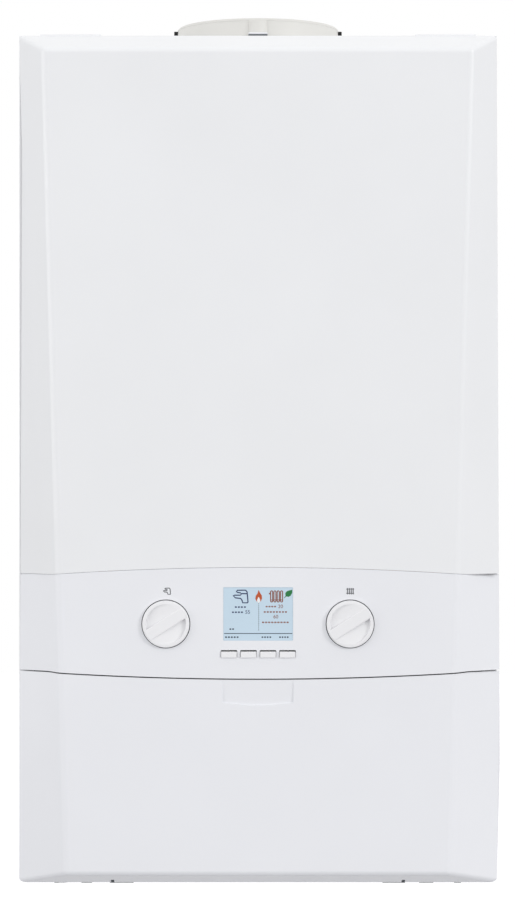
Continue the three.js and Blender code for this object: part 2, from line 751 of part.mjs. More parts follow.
const HOOK_SEAT_Z = HANG_Z + BRACKET_T / 2;

// The back sheet, a shallow pan that hangs on the bracket's hooks through two slots.
function backPanel() {
  const across = INNER_HALF_W - SEAT;
  const [low, high] = [SHEET + SEAT, CASE_H - SHEET - SEAT];
  const pan = box([-across, across], [-BACK_Y - BACK_RIM, -BACK_Y], [low, high]);
  const room = box([-across + BACK_T, across - BACK_T], [-BACK_Y - 2 * BACK_RIM, BACK_FRONT_Y],
    [low + BACK_T, high - BACK_T]);
  const slots = hookPair((x) => box(centred(x, HOOK_W + 2 * HOOK_SIDE), [-BACK_Y - BITE - BACK_T, 0],
    [HOOK_SEAT_Z - SLOT_DROP, HOOK_SEAT_Z + SEAT]));
  return cut(pan, room, ...slots);
}

// The bracket screwed to the wall: a plate with two upturned hooks.
function wallBracket() {
  const plate = box([-BRACKET_W / 2, BRACKET_W / 2], [-BRACKET_T, 0], centred(0, BRACKET_H));
  const hooks = hookPair((x) => {
    const across = centred(x, HOOK_W);
    const arm = box(across, [-HOOK_REACH, -BRACKET_T + BITE], centred(0, BRACKET_T));
    const lip = box(across, [-HOOK_REACH, -HOOK_REACH + BRACKET_T], [-BRACKET_T / 2, HOOK_LIP]);
    return joined(arm, lip);
  });
  return joined(plate, ...hooks);
}

const tails = {
  flow: [-TAIL_X, TAIL_R],
  hot: [-TAIL_X + TAIL_STEP, SMALL_TAIL_R],
  gas: [0, TAIL_R],
  cold: [TAIL_X - TAIL_STEP, SMALL_TAIL_R],
  return: [TAIL_X, TAIL_R],
};

// The bottom sheet with a hole for each tail and two arms that carry the door's rod.
function bottomTray() {
  const across = HALF_W - PANEL_LIP - SEAT;
  const rearY = -BACK_Y - BACK_RIM - SEAT;
  const pan = box([-across, across], [-TRAY_FRONT_Y, rearY], [TRAY_Z, TRAY_Z + TRAY_LIP]);
  const room = box([-across + SHEET, across - SHEET], [-TRAY_FRONT_Y + SHEET, rearY - SHEET],
    [TRAY_Z + SHEET, TRAY_Z + 2 * TRAY_LIP]);
  const holes = Object.values(tails).map(([x, r]) =>
    bar('z', r + HOLE_PLAY, [-BITE, 2 * TRAY_LIP], [x, -TAIL_Y, 0]));
  const drain = bar('z', DRAIN_R + SEAT, [-BITE, 2 * TRAY_LIP], [-TRAP_X, -TRAP_Y, 0]);
  const arms = [-DOOR_ARM_X, DOOR_ARM_X].map((x) => {
    const thick = centred(x, ARM_T);
    const arm = box(thick, [-DOOR_AXIS_Y, -TRAY_FRONT_Y + BITE],
      centred(DOOR_AXIS_Z, 2 * ROD_EYE_R));
    return joined(arm, bar('x', ROD_EYE_R, thick, [0, -DOOR_AXIS_Y, DOOR_AXIS_Z], PIN_SIDES));
  });
  const rodHole = bar('x', ROD_R + SEAT, [-CASE_W, CASE_W], [0, -DOOR_AXIS_Y, DOOR_AXIS_Z], PIN_SIDES);
  return cut(joined(cut(pan, room, ...holes, drain), ...arms), rodHole);
}

// A rail between the side panels whose two arms reach forward to the panel's hinge pins.
function podRail() {
  const across = INNER_HALF_W - SEAT;
  const railY = PANEL_FRONT_Y + SHEET + SEAT;
  const low = POD_AXIS_Z - RAIL_H;
  const rail = cut(
    box([-across, across], [railY, railY + RAIL_D], [low, POD_AXIS_Z]),
    box([-across + SHEET, across - SHEET], [railY + SHEET, railY + RAIL_D + BITE],
      [low + SHEET, POD_AXIS_Z - SHEET]));
  const arms = [-POD_ARM_X, POD_ARM_X].map((x) => {
    const thick = centred(x, ARM_T);
    const arm = box(thick, [-POD_AXIS_Y, railY + BITE], centred(POD_AXIS_Z, 2 * PIN_EYE_R));
    return joined(arm, bar('x', PIN_EYE_R, thick, [0, -POD_AXIS_Y, POD_AXIS_Z], PIN_SIDES));
  });
  const pinHole = bar('x', PIN_R + SEAT, [-CASE_W, CASE_W], [0, -POD_AXIS_Y, POD_AXIS_Z], PIN_SIDES);
  return cut(joined(rail, ...arms), pinHole);
}

// A round pin lying across the boiler.
const crossPin = (r, length) => bar('x', r, centred(0, length), [0, 0, 0], PIN_SIDES);

piece('right_side_panel', sidePanel(), FINISH.whitePaint);
piece('left_side_panel', mirrored(sidePanel()), FINISH.whitePaint);
piece('top_panel', topPanel(), FINISH.whitePaint);
piece('back_panel', backPanel(), FINISH.zincSheet);
piece('bottom_tray', bottomTray(), FINISH.zincSheet);
piece('wall_bracket', wallBracket(), FINISH.zincSheet, [0, 0, HANG_Z]);
piece('pod_rail', podRail(), FINISH.zincSheet);
piece('door_hinge_rod', crossPin(ROD_R, 2 * pinReach(DOOR_ARM_X)), FINISH.stainless,
  [0, -DOOR_AXIS_Y, DOOR_AXIS_Z]);
for (const [side, x] of [['left', -POD_ARM_X], ['right', POD_ARM_X]]) {
  const outward = Math.sign(x) * EAR_T / 2;
  piece(`${side}_panel_pin`, crossPin(PIN_R, ARM_T + EAR_T + SEAT), FINISH.stainless,
    [x + outward, -POD_AXIS_Y, POD_AXIS_Z]);
}

// ---------------------------------------------------------------- control panel

const BOX_BACK_Y = -POD_REAR_Y - POD_WALL - SEAT;
const POD_HALF_W = POD_W / 2;
const POD_TOP_Z = POD_Z + POD_H;
const BOSS_R = 4;
const BOSS_INSET = 12;
const podCorners = [-1, 1].flatMap((sx) => [POD_Z + BOSS_INSET, POD_TOP_Z - BOSS_INSET].map((z) =>
  [sx * (POD_HALF_W - BOSS_INSET), 0, z]));

// The grey box behind the fascia, open at the back, with a shallow tower round the
// display, pads against the fascia and posts for the board.
function controlBox() {
  const towerW = DISPLAY_W + 2 * MODULE_LIP + 2 * POD_WALL + 4 * SEAT;
  const towerTop = DISPLAY_Z + DISPLAY_H / 2 + MODULE_LIP + POD_WALL + 2 * SEAT;
  const towerBack = BOX_FRONT_Y + DISPLAY_MODULE_D + POD_WALL;
  const hollow = (w, low, high, back) => box(centred(0, w - 2 * POD_WALL),
    [BOX_FRONT_Y + POD_WALL, back], [low + POD_WALL, high - POD_WALL]);
  const outer = joined(
    box(centred(0, POD_W), [BOX_FRONT_Y, BOX_BACK_Y], [POD_Z, POD_TOP_Z]),
    box(centred(0, towerW), [BOX_FRONT_Y, towerBack], [POD_Z, towerTop]));
  const shell = cut(outer, hollow(POD_W, POD_Z, POD_TOP_Z, 0),
    hollow(towerW, POD_Z, towerTop, towerBack - POD_WALL));
  const pads = podCorners.map((at) =>
    bar('y', BOSS_R, [FACE_BACK_Y + SEAT, BOX_FRONT_Y + BITE], at, POST_SIDES));
  const posts = podCorners.map((at) =>
    bar('y', BOSS_R, [BOX_FRONT_Y + BITE, -BOARD_Y - SEAT], at, POST_SIDES));
  const through = [FACE_BACK_Y, BOX_FRONT_Y + POD_WALL + BITE];
  const window = box(centred(0, DISPLAY_W + 2 * MODULE_LIP + 2 * SEAT), through,
    centred(DISPLAY_Z, DISPLAY_H + 2 * MODULE_LIP + 2 * SEAT));
  const keyRow = (KEY_COUNT - 1) * KEY_PITCH + KEY_W + 2 * KEY_FLANGE + 2 * KEY_PLAY;
  const keyWindow = box(centred(0, keyRow), through,
    centred(KEY_Z, KEY_H + 2 * KEY_FLANGE + 2 * KEY_PLAY));
  const spindleHoles = [-KNOB_X, KNOB_X].map((x) =>
    bar('y', SPINDLE_R + SEAT, through, [x, 0, KNOB_Z], PIN_SIDES));
  return cut(joined(shell, ...pads, ...posts), window, keyWindow, ...spindleHoles);
}

// The lid that closes the back of the box.
function controlBoxCover() {
  const inner = POD_WALL + SEAT;
  const plate = box([-POD_HALF_W, POD_HALF_W], [-POD_REAR_Y - POD_WALL, -POD_REAR_Y], [POD_Z, POD_TOP_Z]);
  const rim = box([-POD_HALF_W + inner, POD_HALF_W - inner],
    [-POD_REAR_Y - 2 * POD_WALL, -POD_REAR_Y - BITE], [POD_Z + inner, POD_TOP_Z - inner]);
  const room = box([-POD_HALF_W + inner + POD_WALL, POD_HALF_W - inner - POD_WALL],
    [-CASE_D, -POD_REAR_Y - POD_WALL], [POD_Z + inner + POD_WALL, POD_TOP_Z - inner - POD_WALL]);
  return cut(joined(plate, rim), room);
}

// The circuit board with its four key switches and the two knobs' encoders.
function circuitBoard() {
  const edge = POD_WALL + BOARD_MARGIN;
  const sheet = box([-POD_HALF_W + edge, POD_HALF_W - edge], [-BOARD_Y, -BOARD_Y + BOARD_T],
    [POD_Z + edge, POD_TOP_Z - edge]);
  const switches = keyPlaces.map((x) =>
    box(centred(x, SWITCH_W), [-BOARD_Y - SWITCH_H, -BOARD_Y + BITE], centred(KEY_Z, SWITCH_W)));
  const encoders = [-KNOB_X, KNOB_X].map((x) => cut(
    box(centred(x, ENCODER_W), [-BOARD_Y - ENCODER_D, -BOARD_Y + BITE], centred(KNOB_Z, ENCODER_W)),
    bar('y', SPINDLE_R + RUN, [-BOARD_Y - 2 * ENCODER_D, -BOARD_Y - BOARD_T], [x, 0, KNOB_Z], PIN_SIDES)));
  return joined(sheet, ...switches, ...encoders);
}

// A knob about its own centre, front towards -Y: disc, two scooped sides, raised grip.
function knob() {
  const rimY = -KNOB_STAND;
  const disc = turned([[0, -KNOB_STAND + KNOB_DEPTH], [KNOB_R, -KNOB_STAND + KNOB_DEPTH],
    [KNOB_R, rimY + KNOB_EDGE], [KNOB_R - KNOB_EDGE, rimY], [0, rimY]].reverse()
    .map(([r, y]) => [r, -y]), KNOB_SIDES).rotate([90, 0, 0]);
  const scoop = cut(bar('y', KNOB_R - KNOB_RIM, [rimY - BITE, rimY + SCOOP_DEPTH], [0, 0, 0], KNOB_SIDES),
    box([-KNOB_R, KNOB_R], [-KNOB_R, KNOB_R], centred(0, GRIP_W)));
  const grip = box([-KNOB_R, KNOB_R], [-GRIP_STAND, 0], centred(0, GRIP_W))
    .intersect(bar('y', KNOB_R - KNOB_EDGE, [-2 * GRIP_STAND, KNOB_STAND], [0, 0, 0], KNOB_SIDES));
  return joined(cut(disc, scoop), grip).rotate([0, -GRIP_LEAN, 0]);
}

// A soft key about the middle of its slot in the fascia's front plane.
function softKey() {
  const flangeY = SHELL_T + RUN;
  const cap = box(centred(0, KEY_W), [-KEY_STAND, flangeY + BITE], centred(0, KEY_H));
  const flange = box(centred(0, KEY_W + 2 * KEY_FLANGE), [flangeY, flangeY + KEY_FLANGE_T],
    centred(0, KEY_H + 2 * KEY_FLANGE));
  const switchTop = CASE_D - BOARD_Y - SWITCH_H;
  const stem = box(centred(0, KEY_STEM), [flangeY, switchTop - KEY_TRAVEL - KEY_FEEL], centred(0, KEY_STEM));
  return joined(cap, flange, stem);
}

const spindle = bar('y', SPINDLE_R, [FACE_BACK_Y + SEAT, -BOARD_Y - BOARD_T - SEAT], [0, 0, 0], 10);
const lens = box(centred(0, DISPLAY_W - 2 * SEAT), [0, LENS_T], centred(0, DISPLAY_H - 2 * SEAT));
const displayModule = box(centred(0, DISPLAY_W + 2 * MODULE_LIP),
  [FACE_BACK_Y + SEAT, FACE_BACK_Y + SEAT + DISPLAY_MODULE_D], centred(0, DISPLAY_H + 2 * MODULE_LIP));

piece('control_box', controlBox(), FINISH.greyPlastic);
piece('control_box_cover', controlBoxCover(), FINISH.greyPlastic);
piece('control_circuit_board', circuitBoard(), FINISH.board);
piece('display_module', displayModule, FINISH.blackPlastic, [0, 0, DISPLAY_Z]);
piece('display_lens', lens, FINISH.screen, [0, FRONT_Y + SEAT, DISPLAY_Z]);
for (const [side, x] of [['left', -KNOB_X], ['right', KNOB_X]]) {
  piece(`${side}_knob`, knob(), FINISH.whitePlastic, [x, FRONT_Y, KNOB_Z]);
  piece(`${side}_knob_spindle`, spindle, FINISH.stainless, [x, 0, KNOB_Z]);
}
keyPlaces.forEach((x, i) => piece(`soft_key_${i + 1}`, softKey(), FINISH.whitePlastic, [x, FRONT_Y, KEY_Z]));

// ---------------------------------------------------------------- flue

const COLLAR_FOOT_Z = CASE_H + SEAT + SEAL_T + SEAT;

const onCircle = (degrees, r) => {
  const angle = THREE.MathUtils.degToRad(degrees);
  return [r * Math.cos(angle), r * Math.sin(angle), 0];
};

const sampleAt = onCircle(SAMPLE_ANGLE, (COLLAR_R + COLLAR_BORE_R) / 2);

// The round flue connection: wall with a rim at its mouth and a rib down its front.
function flueCollar() {
  const rimZ = COLLAR_TOP_Z - COLLAR_RIM_H;
  const body = turned([[COLLAR_BORE_R, COLLAR_FOOT_Z], [COLLAR_R, COLLAR_FOOT_Z], [COLLAR_R, rimZ],
    [COLLAR_RIM_R, rimZ + RIM_SLOPE], [COLLAR_RIM_R, COLLAR_TOP_Z], [COLLAR_BORE_R, COLLAR_TOP_Z]], 36);
  const ribAt = [0, -COLLAR_R - RIB_OUT + RIB_R, 0];
  const rib = bar('z', RIB_R, [COLLAR_FOOT_Z + RIB_FOOT, COLLAR_TOP_Z - BITE], ribAt, 16);
  const socket = bar('z', SAMPLE_R, [COLLAR_TOP_Z - SAMPLE_CAP_H, COLLAR_TOP_Z + BITE], sampleAt, 12);
  return cut(joined(body, rib), socket);
}

// The plug of the sampling point: head on the collar's mouth, stem in its socket.
const samplingCap = turned([[0, COLLAR_TOP_Z - SAMPLE_CAP_H + SEAT],
  [SAMPLE_R - SEAT, COLLAR_TOP_Z - SAMPLE_CAP_H + SEAT], [SAMPLE_R - SEAT, COLLAR_TOP_Z + SEAT],
  [SAMPLE_CAP_R, COLLAR_TOP_Z + SEAT], [SAMPLE_CAP_R, COLLAR_TOP_Z + SAMPLE_CAP_T],
  [0, COLLAR_TOP_Z + SAMPLE_CAP_T]], 10);

// The black ring under the collar; its two lugs stand out beside the collar's foot.
function flueSeal() {
  const low = CASE_H + SEAT;
  const ring = turned([[COLLAR_BORE_R, low], [COLLAR_RIM_R, low], [COLLAR_RIM_R, low + SEAL_T],
    [COLLAR_BORE_R, low + SEAL_T]], 24);
  const reach = SEAL_LUG_OUT - COLLAR_R - SEAT;
  const lugs = [-1, 1].map((side) => box(centred(side * (SEAL_LUG_OUT - reach / 2), reach),
    centred(0, 2 * SEAL_LUG), [low, low + SEAL_LUG]));
  return joined(ring, ...lugs);
}

const FLUE_PORT_Z = HX_Z + HX_R + FLUE_PORT_H;
const flueDuct = turned([[FLUE_R - FLUE_WALL, FLUE_PORT_Z + SEAT], [FLUE_R, FLUE_PORT_Z + SEAT],
  [FLUE_R, FLUE_TOP_Z], [FLUE_R - FLUE_WALL, FLUE_TOP_Z]]);

const flueAt = [0, -FLUE_Y, 0];
piece('flue_collar', flueCollar(), FINISH.fluePlastic, flueAt);
piece('flue_seal', flueSeal(), FINISH.rubber, flueAt);
piece('flue_duct', flueDuct, FINISH.fluePlastic, flueAt);
piece('sampling_cap', moved(samplingCap, ...sampleAt), FINISH.rubber, flueAt);

// ---------------------------------------------------------------- heat exchanger

const WATER_PORT_Z = HX_Z - WATER_PORT_DROP;
const SUMP_TOP_Z = HX_Z - HX_R - DRAIN_BOSS_H;
const VENT_SEAT_Z = HX_Z + HX_R - VENT_BOSS_DROP;

// The cast drum: ribs, a chamber open at the front, ports and two brackets to the back.
function heatExchanger() {
  const drum = bar('y', HX_R, [-HX_FRONT_Y, -HX_REAR_Y], [0, 0, HX_Z]);
  const pitch = (HX_FRONT_Y - HX_REAR_Y) / COIL_RIBS;
  const grooves = Array.from({ length: COIL_RIBS }, (_, i) => {
    const span = centred(-HX_REAR_Y - (i + 0.5) * pitch, pitch / 3);
    return cut(bar('y', HX_R + BITE, span, [0, 0, HX_Z]),
      bar('y', HX_R - COIL_RIB_OUT, [-CASE_D, 0], [0, 0, HX_Z]));
  });
  const flue = bar('z', FLUE_R + FLUE_PORT_WALL, [HX_Z + CHAMBER_R + BITE, FLUE_PORT_Z], flueAt);
  const water = [-WATER_PORT_X, WATER_PORT_X].map((x) =>
    bar('z', WATER_PORT_R, [WATER_PORT_Z, HX_Z - CHAMBER_R - BITE], [x, -WATER_PORT_Y, 0]));
  const drain = bar('z', SUMP_R, [SUMP_TOP_Z, HX_Z - CHAMBER_R - BITE], [0, -SUMP_Y, 0]);
  const vent = bar('z', VENT_BOSS_R, [HX_Z, VENT_SEAT_Z], [-VENT_X, -FAN_Y, 0]);
  const brackets = [-1, 1].map((side) => {
    const outer = side * HX_BRACKET_X;
    const lug = (a, b) => [Math.min(a, b), Math.max(a, b)];
    const high = centred(HX_Z, HX_BRACKET_H);
    return joined(
      box(lug(side * (HX_R - COIL_RIB_OUT - 2), outer), centred(-WATER_PORT_Y, HX_BRACKET_T), high),
      box(lug(outer - side * HX_BRACKET_T, outer), [-WATER_PORT_Y, BACK_FRONT_Y - SEAT], high));
  });
  const body = joined(cut(drum, ...grooves), flue, ...water, drain, vent, ...brackets);
  const chamber = bar('y', CHAMBER_R, [-HX_FRONT_Y - BITE, -HX_FRONT_Y + CHAMBER_DEPTH], [0, 0, HX_Z]);
  const flueWay = bar('z', FLUE_R - FLUE_WALL, [HX_Z, FLUE_PORT_Z + BITE], flueAt);
  const drainWay = bar('z', SUMP_OUTLET_R - 2, [SUMP_TOP_Z - BITE, HX_Z], [0, -SUMP_Y, 0]);
  return cut(body, chamber, flueWay, drainWay);
}

// The tube burner: a cup whose open end faces the door.
function burner() {
  const front = -HX_FRONT_Y;
  return cut(bar('y', BURNER_R, [front, front + BURNER_L], [0, 0, 0]),
    bar('y', BURNER_R - BURNER_WALL, [front - BITE, front + BURNER_L - BURNER_WALL], [0, 0, 0]));
}

const DOOR_FACE_Y = -HX_FRONT_Y - SEAT - DOOR_PLATE_T;
const INLET_Y = DOOR_FACE_Y - MIX_FLANGE_T;

// The door of the combustion chamber with its inlet flange.
function burnerDoor() {
  const plate = bar('y', DOOR_PLATE_R, [DOOR_FACE_Y, -HX_FRONT_Y - SEAT], [0, 0, 0]);
  const flange = bar('y', MIX_FLANGE_R, [INLET_Y, DOOR_FACE_Y + BITE], [0, 0, 0]);
  return cut(joined(plate, flange), bar('y', MIX_R - 2, [-CASE_D, 0], [0, 0, 0]));
}

// A ceramic rod on the burner door with a metal tip in the chamber.
const electrode = joined(
  bar('y', ELECTRODE_R, [DOOR_FACE_Y - SEAT - ELECTRODE_L, DOOR_FACE_Y - SEAT], [0, 0, 0]),
  bar('y', TIP_R, [DOOR_FACE_Y - SEAT - ELECTRODE_L - TIP_L / 3, DOOR_FACE_Y - SEAT], [0, 0, 0]));

// The funnel under the drum.
const SUMP_INNER_R = SUMP_R - SUMP_WALL;
const sump = turned([[SUMP_OUTLET_R - SUMP_WALL, 0], [SUMP_OUTLET_R, 0], [SUMP_OUTLET_R, SUMP_NECK],
  [SUMP_R, SUMP_H - SUMP_BAND], [SUMP_R, SUMP_H], [SUMP_INNER_R, SUMP_H],
  [SUMP_INNER_R, SUMP_H - SUMP_BAND + SUMP_WALL / 2],
  [SUMP_OUTLET_R - SUMP_WALL, SUMP_NECK + SUMP_WALL / 2]]);
const SUMP_FOOT_Z = SUMP_TOP_Z - SEAT - SUMP_H;

function condensatePipe() {
  const z = TRAP_TOP_Z - TRAP_INLET_DROP;
  const way = new THREE.Vector2(TRAP_X, TRAP_Y - SUMP_Y);
  const stop = way.clone().setLength(way.length() - TRAP_R - SEAT);
  return pipe([[0, -SUMP_Y, SUMP_FOOT_Z - SEAT], [0, -SUMP_Y, z], [-stop.x, -SUMP_Y - stop.y, z]],
    CONDENSATE_R, CONDENSATE_BEND, CONDENSATE_STEPS);
}

// The bottle trap and the drain spout that leaves through the tray.
const TRAP_FOOT_Z = TRAP_TOP_Z - TRAP_H;
const trap = turned([[0, DRAIN_END_Z], [DRAIN_R, DRAIN_END_Z], [DRAIN_R, TRAP_FOOT_Z - DRAIN_R],
  [TRAP_R, TRAP_FOOT_Z + DRAIN_R], [TRAP_R, TRAP_TOP_Z - TRAP_EDGE],
  [TRAP_R - TRAP_EDGE, TRAP_TOP_Z], [0, TRAP_TOP_Z]]);

piece('heat_exchanger', heatExchanger(), FINISH.castAluminium);
piece('burner', burner(), FINISH.stainless, [0, 0, HX_Z]);
piece('burner_door', burnerDoor(), FINISH.castAluminium, [0, 0, HX_Z]);
piece('ignition_electrode', electrode, FINISH.ceramic, [ELECTRODE_X, 0, HX_Z + ELECTRODE_RISE]);
piece('flame_electrode', electrode, FINISH.ceramic, [-ELECTRODE_X, 0, HX_Z + ELECTRODE_RISE]);
piece('condensate_sump', sump, FINISH.blackPlastic, [0, -SUMP_Y, SUMP_FOOT_Z]);
piece('condensate_pipe', condensatePipe(), FINISH.greyPlastic);
piece('condensate_trap', trap, FINISH.greyPlastic, [-TRAP_X, -TRAP_Y, 0]);

// ---------------------------------------------------------------- fan and gas

// The fan's scroll about its own centre: drum with an outlet towards the front.
function fanHousing() {
  const outletX = OUTLET_X - FAN_X;
  const outletFront = FAN_Y - OUTLET_Y;
  const shape = (inset) => joined(
    bar('z', FAN_R - inset, centred(0, FAN_H - 2 * inset), [0, 0, 0]),
    box(centred(outletX, OUTLET_W - 2 * inset), [outletFront - inset, 0], centred(0, FAN_H - 2 * inset)));
  const inlet = bar('z', VENTURI_BORE_R, [-FAN_H, 0], [0, 0, 0]);
  const shaftHole = bar('z', SHAFT_R + RUN, [0, FAN_H], [0, 0, 0]);
  return cut(shape(0), shape(FAN_WALL), inlet, shaftHole);
}

// The impeller: a back disc with straight blades round a bored hub.
function fanImpeller() {
  const low = -IMPELLER_H / 2;
  const high = IMPELLER_H / 2;
  const disc = bar('z', IMPELLER_R, [high - BLADE_T, high], [0, 0, 0]);
  const hub = bar('z', HUB_R, [low, high], [0, 0, 0]);
  const blade = box([HUB_R - BITE, IMPELLER_R - BLADE_SETBACK], centred(0, BLADE_T), [low, high - BITE]);
  const blades = Array.from({ length: BLADES }, (_, i) => blade.rotate([0, 0, i * FULL_TURN / BLADES]));
  return cut(joined(disc, hub, ...blades), bar('z', SHAFT_R + SEAT, [-FAN_H, FAN_H], [0, 0, 0]));
}

// The motor on top of the fan with its spindle through the hub.
const fanMotor = joined(
  turned([[0, 0], [MOTOR_R, 0], [MOTOR_R, MOTOR_H - MOTOR_EDGE],
    [MOTOR_R - MOTOR_EDGE, MOTOR_H], [0, MOTOR_H]]),
  bar('z', SHAFT_R, [-FAN_H / 2 - SEAT - IMPELLER_H / 4, BITE], [0, 0, 0]));

const VENTURI_TOP_Z = FAN_Z - FAN_H / 2 - SEAT;
const VENTURI_MID_Z = VENTURI_TOP_Z - VENTURI_H / 2;

// The gas and air mixer under the fan, with the gas inlet at its side.
function venturi() {
  const waist = VENTURI_R - VENTURI_WAIST;
  const lowRim = VENTURI_RIM_H - VENTURI_H;
  const body = turned([[VENTURI_BORE_R, -VENTURI_H], [VENTURI_R, -VENTURI_H], [VENTURI_R, lowRim],
    [waist, lowRim + VENTURI_WAIST], [waist, -VENTURI_RIM_H - VENTURI_WAIST],
    [VENTURI_R, -VENTURI_RIM_H], [VENTURI_R, 0], [VENTURI_BORE_R, 0],
    [VENTURI_THROAT_R, -VENTURI_H / 2]]);
  const inlet = cut(
    bar('x', GAS_PIPE_R + UNION_WALL, [0, VENTURI_R + INLET_OUT], [0, 0, -VENTURI_H / 2]),
    bar('z', (VENTURI_BORE_R + VENTURI_THROAT_R) / 2, [-VENTURI_H, 0], [0, 0, 0]));
  return joined(body, inlet);
}

// The duct from the fan's outlet to the burner door, with a flange at each end.
function mixtureDuct() {
  const frontY = -OUTLET_Y - DUCT_OUT;
  const [fanEnd, doorEnd] = [-OUTLET_Y - SEAT, INLET_Y - SEAT];
  const way = pipe([[OUTLET_X, fanEnd, FAN_Z], [OUTLET_X, frontY, FAN_Z], [0, frontY, HX_Z],
    [0, doorEnd, HX_Z]], MIX_R, DUCT_BEND, DUCT_STEPS, DUCT_SIDES);
  const flange = (end, x, z) => bar('y', MIX_FLANGE_R - MIX_FLANGE_T, [end - MIX_FLANGE_T, end], [x, 0, z]);
  return joined(way, flange(fanEnd, OUTLET_X, FAN_Z), flange(doorEnd, 0, HX_Z));
}

// The gas valve block with two coils, a union on top and a bracket to the side panel.
function gasValve() {
  const block = box(centred(0, VALVE_W), centred(0, VALVE_D), centred(0, VALVE_H));
  const coils = [-1, 1].map((side) =>
    bar('y', COIL_R, [-VALVE_D / 2 - COIL_H, -VALVE_D / 2 + BITE], [0, 0, side * VALVE_H / 4]));
  const union = bar('z', GAS_PIPE_R + UNION_WALL, [0, VALVE_H / 2 + UNION_H], [0, 0, 0]);
  const bracket = box([VALVE_W / 2 - BITE, INNER_HALF_W - SEAT - VALVE_X], centred(0, VALVE_BRACKET_W),
    centred(0, VALVE_BRACKET_T));
  return joined(block, ...coils, union, bracket);
}

const gasPipe = pipe([[VALVE_X, -VALVE_Y, VALVE_Z + VALVE_H / 2 + UNION_H + SEAT],
  [VALVE_X, -VALVE_Y, VENTURI_MID_Z], [FAN_X + VENTURI_R + INLET_OUT + SEAT, -VALVE_Y, VENTURI_MID_Z]],
  GAS_PIPE_R, GAS_BEND, GAS_STEPS);

// A tail under the casing: pipe end with a union nut, its bore open below.
function tail(r, topZ) {
  const nut = bar('z', r * NUT_SHARE, [NUT_Z, NUT_Z + NUT_H], [0, 0, 0], NUT_SIDES);
  return cut(joined(bar('z', r, [TAIL_END_Z, topZ], [0, 0, 0]), nut),
    bar('z', r - TAIL_WALL, [TAIL_END_Z - BITE, NUT_Z], [0, 0, 0]));
}

function gasSupply() {
  const [x, r] = tails.gas;
  const run = pipe([[VALVE_X, -VALVE_Y, VALVE_Z - VALVE_H / 2 - SEAT], [VALVE_X, -VALVE_Y, GAS_RUN_Z],
    [x, -VALVE_Y, GAS_RUN_Z], [x, -TAIL_Y, GAS_RUN_Z], [x, -TAIL_Y, MANIFOLD_Z - BITE]],
    GAS_SUPPLY_R, GAS_SUPPLY_BEND, GAS_SUPPLY_STEPS);
  return joined(run, moved(tail(r, MANIFOLD_Z), x, -TAIL_Y, 0));
}

piece('fan_housing', fanHousing(), FINISH.blackPlastic, [FAN_X, -FAN_Y, FAN_Z]);
piece('fan_impeller', fanImpeller(), FINISH.greyPlastic, [FAN_X, -FAN_Y, FAN_Z]);
piece('fan_motor', fanMotor, FINISH.blackPlastic, [FAN_X, -FAN_Y, FAN_Z + FAN_H / 2 + SEAT]);
piece('venturi', venturi(), FINISH.castAluminium, [FAN_X, -FAN_Y, VENTURI_TOP_Z]);
piece('mixture_duct', mixtureDuct(), FINISH.castAluminium);
piece('gas_valve', gasValve(), FINISH.castAluminium, [VALVE_X, -VALVE_Y, VALVE_Z]);
piece('gas_pipe', gasPipe, FINISH.copper);
piece('gas_supply_pipe', gasSupply(), FINISH.copper);

// ---------------------------------------------------------------- water side

const VESSEL_REAR_Y = BACK_FRONT_Y - SEAT;

// The vessel's crowned form, inset by a wall.
function vesselForm(wall) {
  const outline = rounded(0, 0, VESSEL_W - 2 * VESSEL_CROWN, VESSEL_H - 2 * VESSEL_CROWN,
    VESSEL_R - VESSEL_CROWN);
  const crown = VESSEL_CROWN - wall;
  const geometry = new THREE.ExtrudeGeometry(outline, {
    depth: VESSEL_D - 2 * VESSEL_CROWN, bevelThickness: crown, bevelSize: crown,
    bevelSegments: CROWN_STEPS, curveSegments: CORNER_STEPS });
  return solid(geometry.rotateX(Math.PI / 2).translate(0, VESSEL_REAR_Y - VESSEL_CROWN, VESSEL_Z));
}

// The flat expansion vessel: two pressed halves, their rim and the port at the foot.
function expansionVessel() {
  const middle = VESSEL_REAR_Y - VESSEL_D / 2;
  const rim = plateXZ(rounded(0, VESSEL_Z, VESSEL_W + 2 * VESSEL_RIM, VESSEL_H + 2 * VESSEL_RIM, VESSEL_R),
    centred(middle, VESSEL_RIM_T), CORNER_STEPS);
  const foot = VESSEL_Z - VESSEL_H / 2 - VESSEL_PORT_H;
  const port = bar('z', VESSEL_PORT_R, [foot, VESSEL_Z], [VESSEL_PORT_X, middle, 0]);
  const way = bar('z', HOSE_R, [foot - BITE, VESSEL_Z], [VESSEL_PORT_X, middle, 0]);
  return cut(joined(vesselForm(0), rim, port), vesselForm(VESSEL_WALL), way);
}

const MANIFOLD_TOP_Z = MANIFOLD_Z + MANIFOLD_H;
const MANIFOLD_FRONT_Y = -MANIFOLD_REAR_Y - MANIFOLD_D;

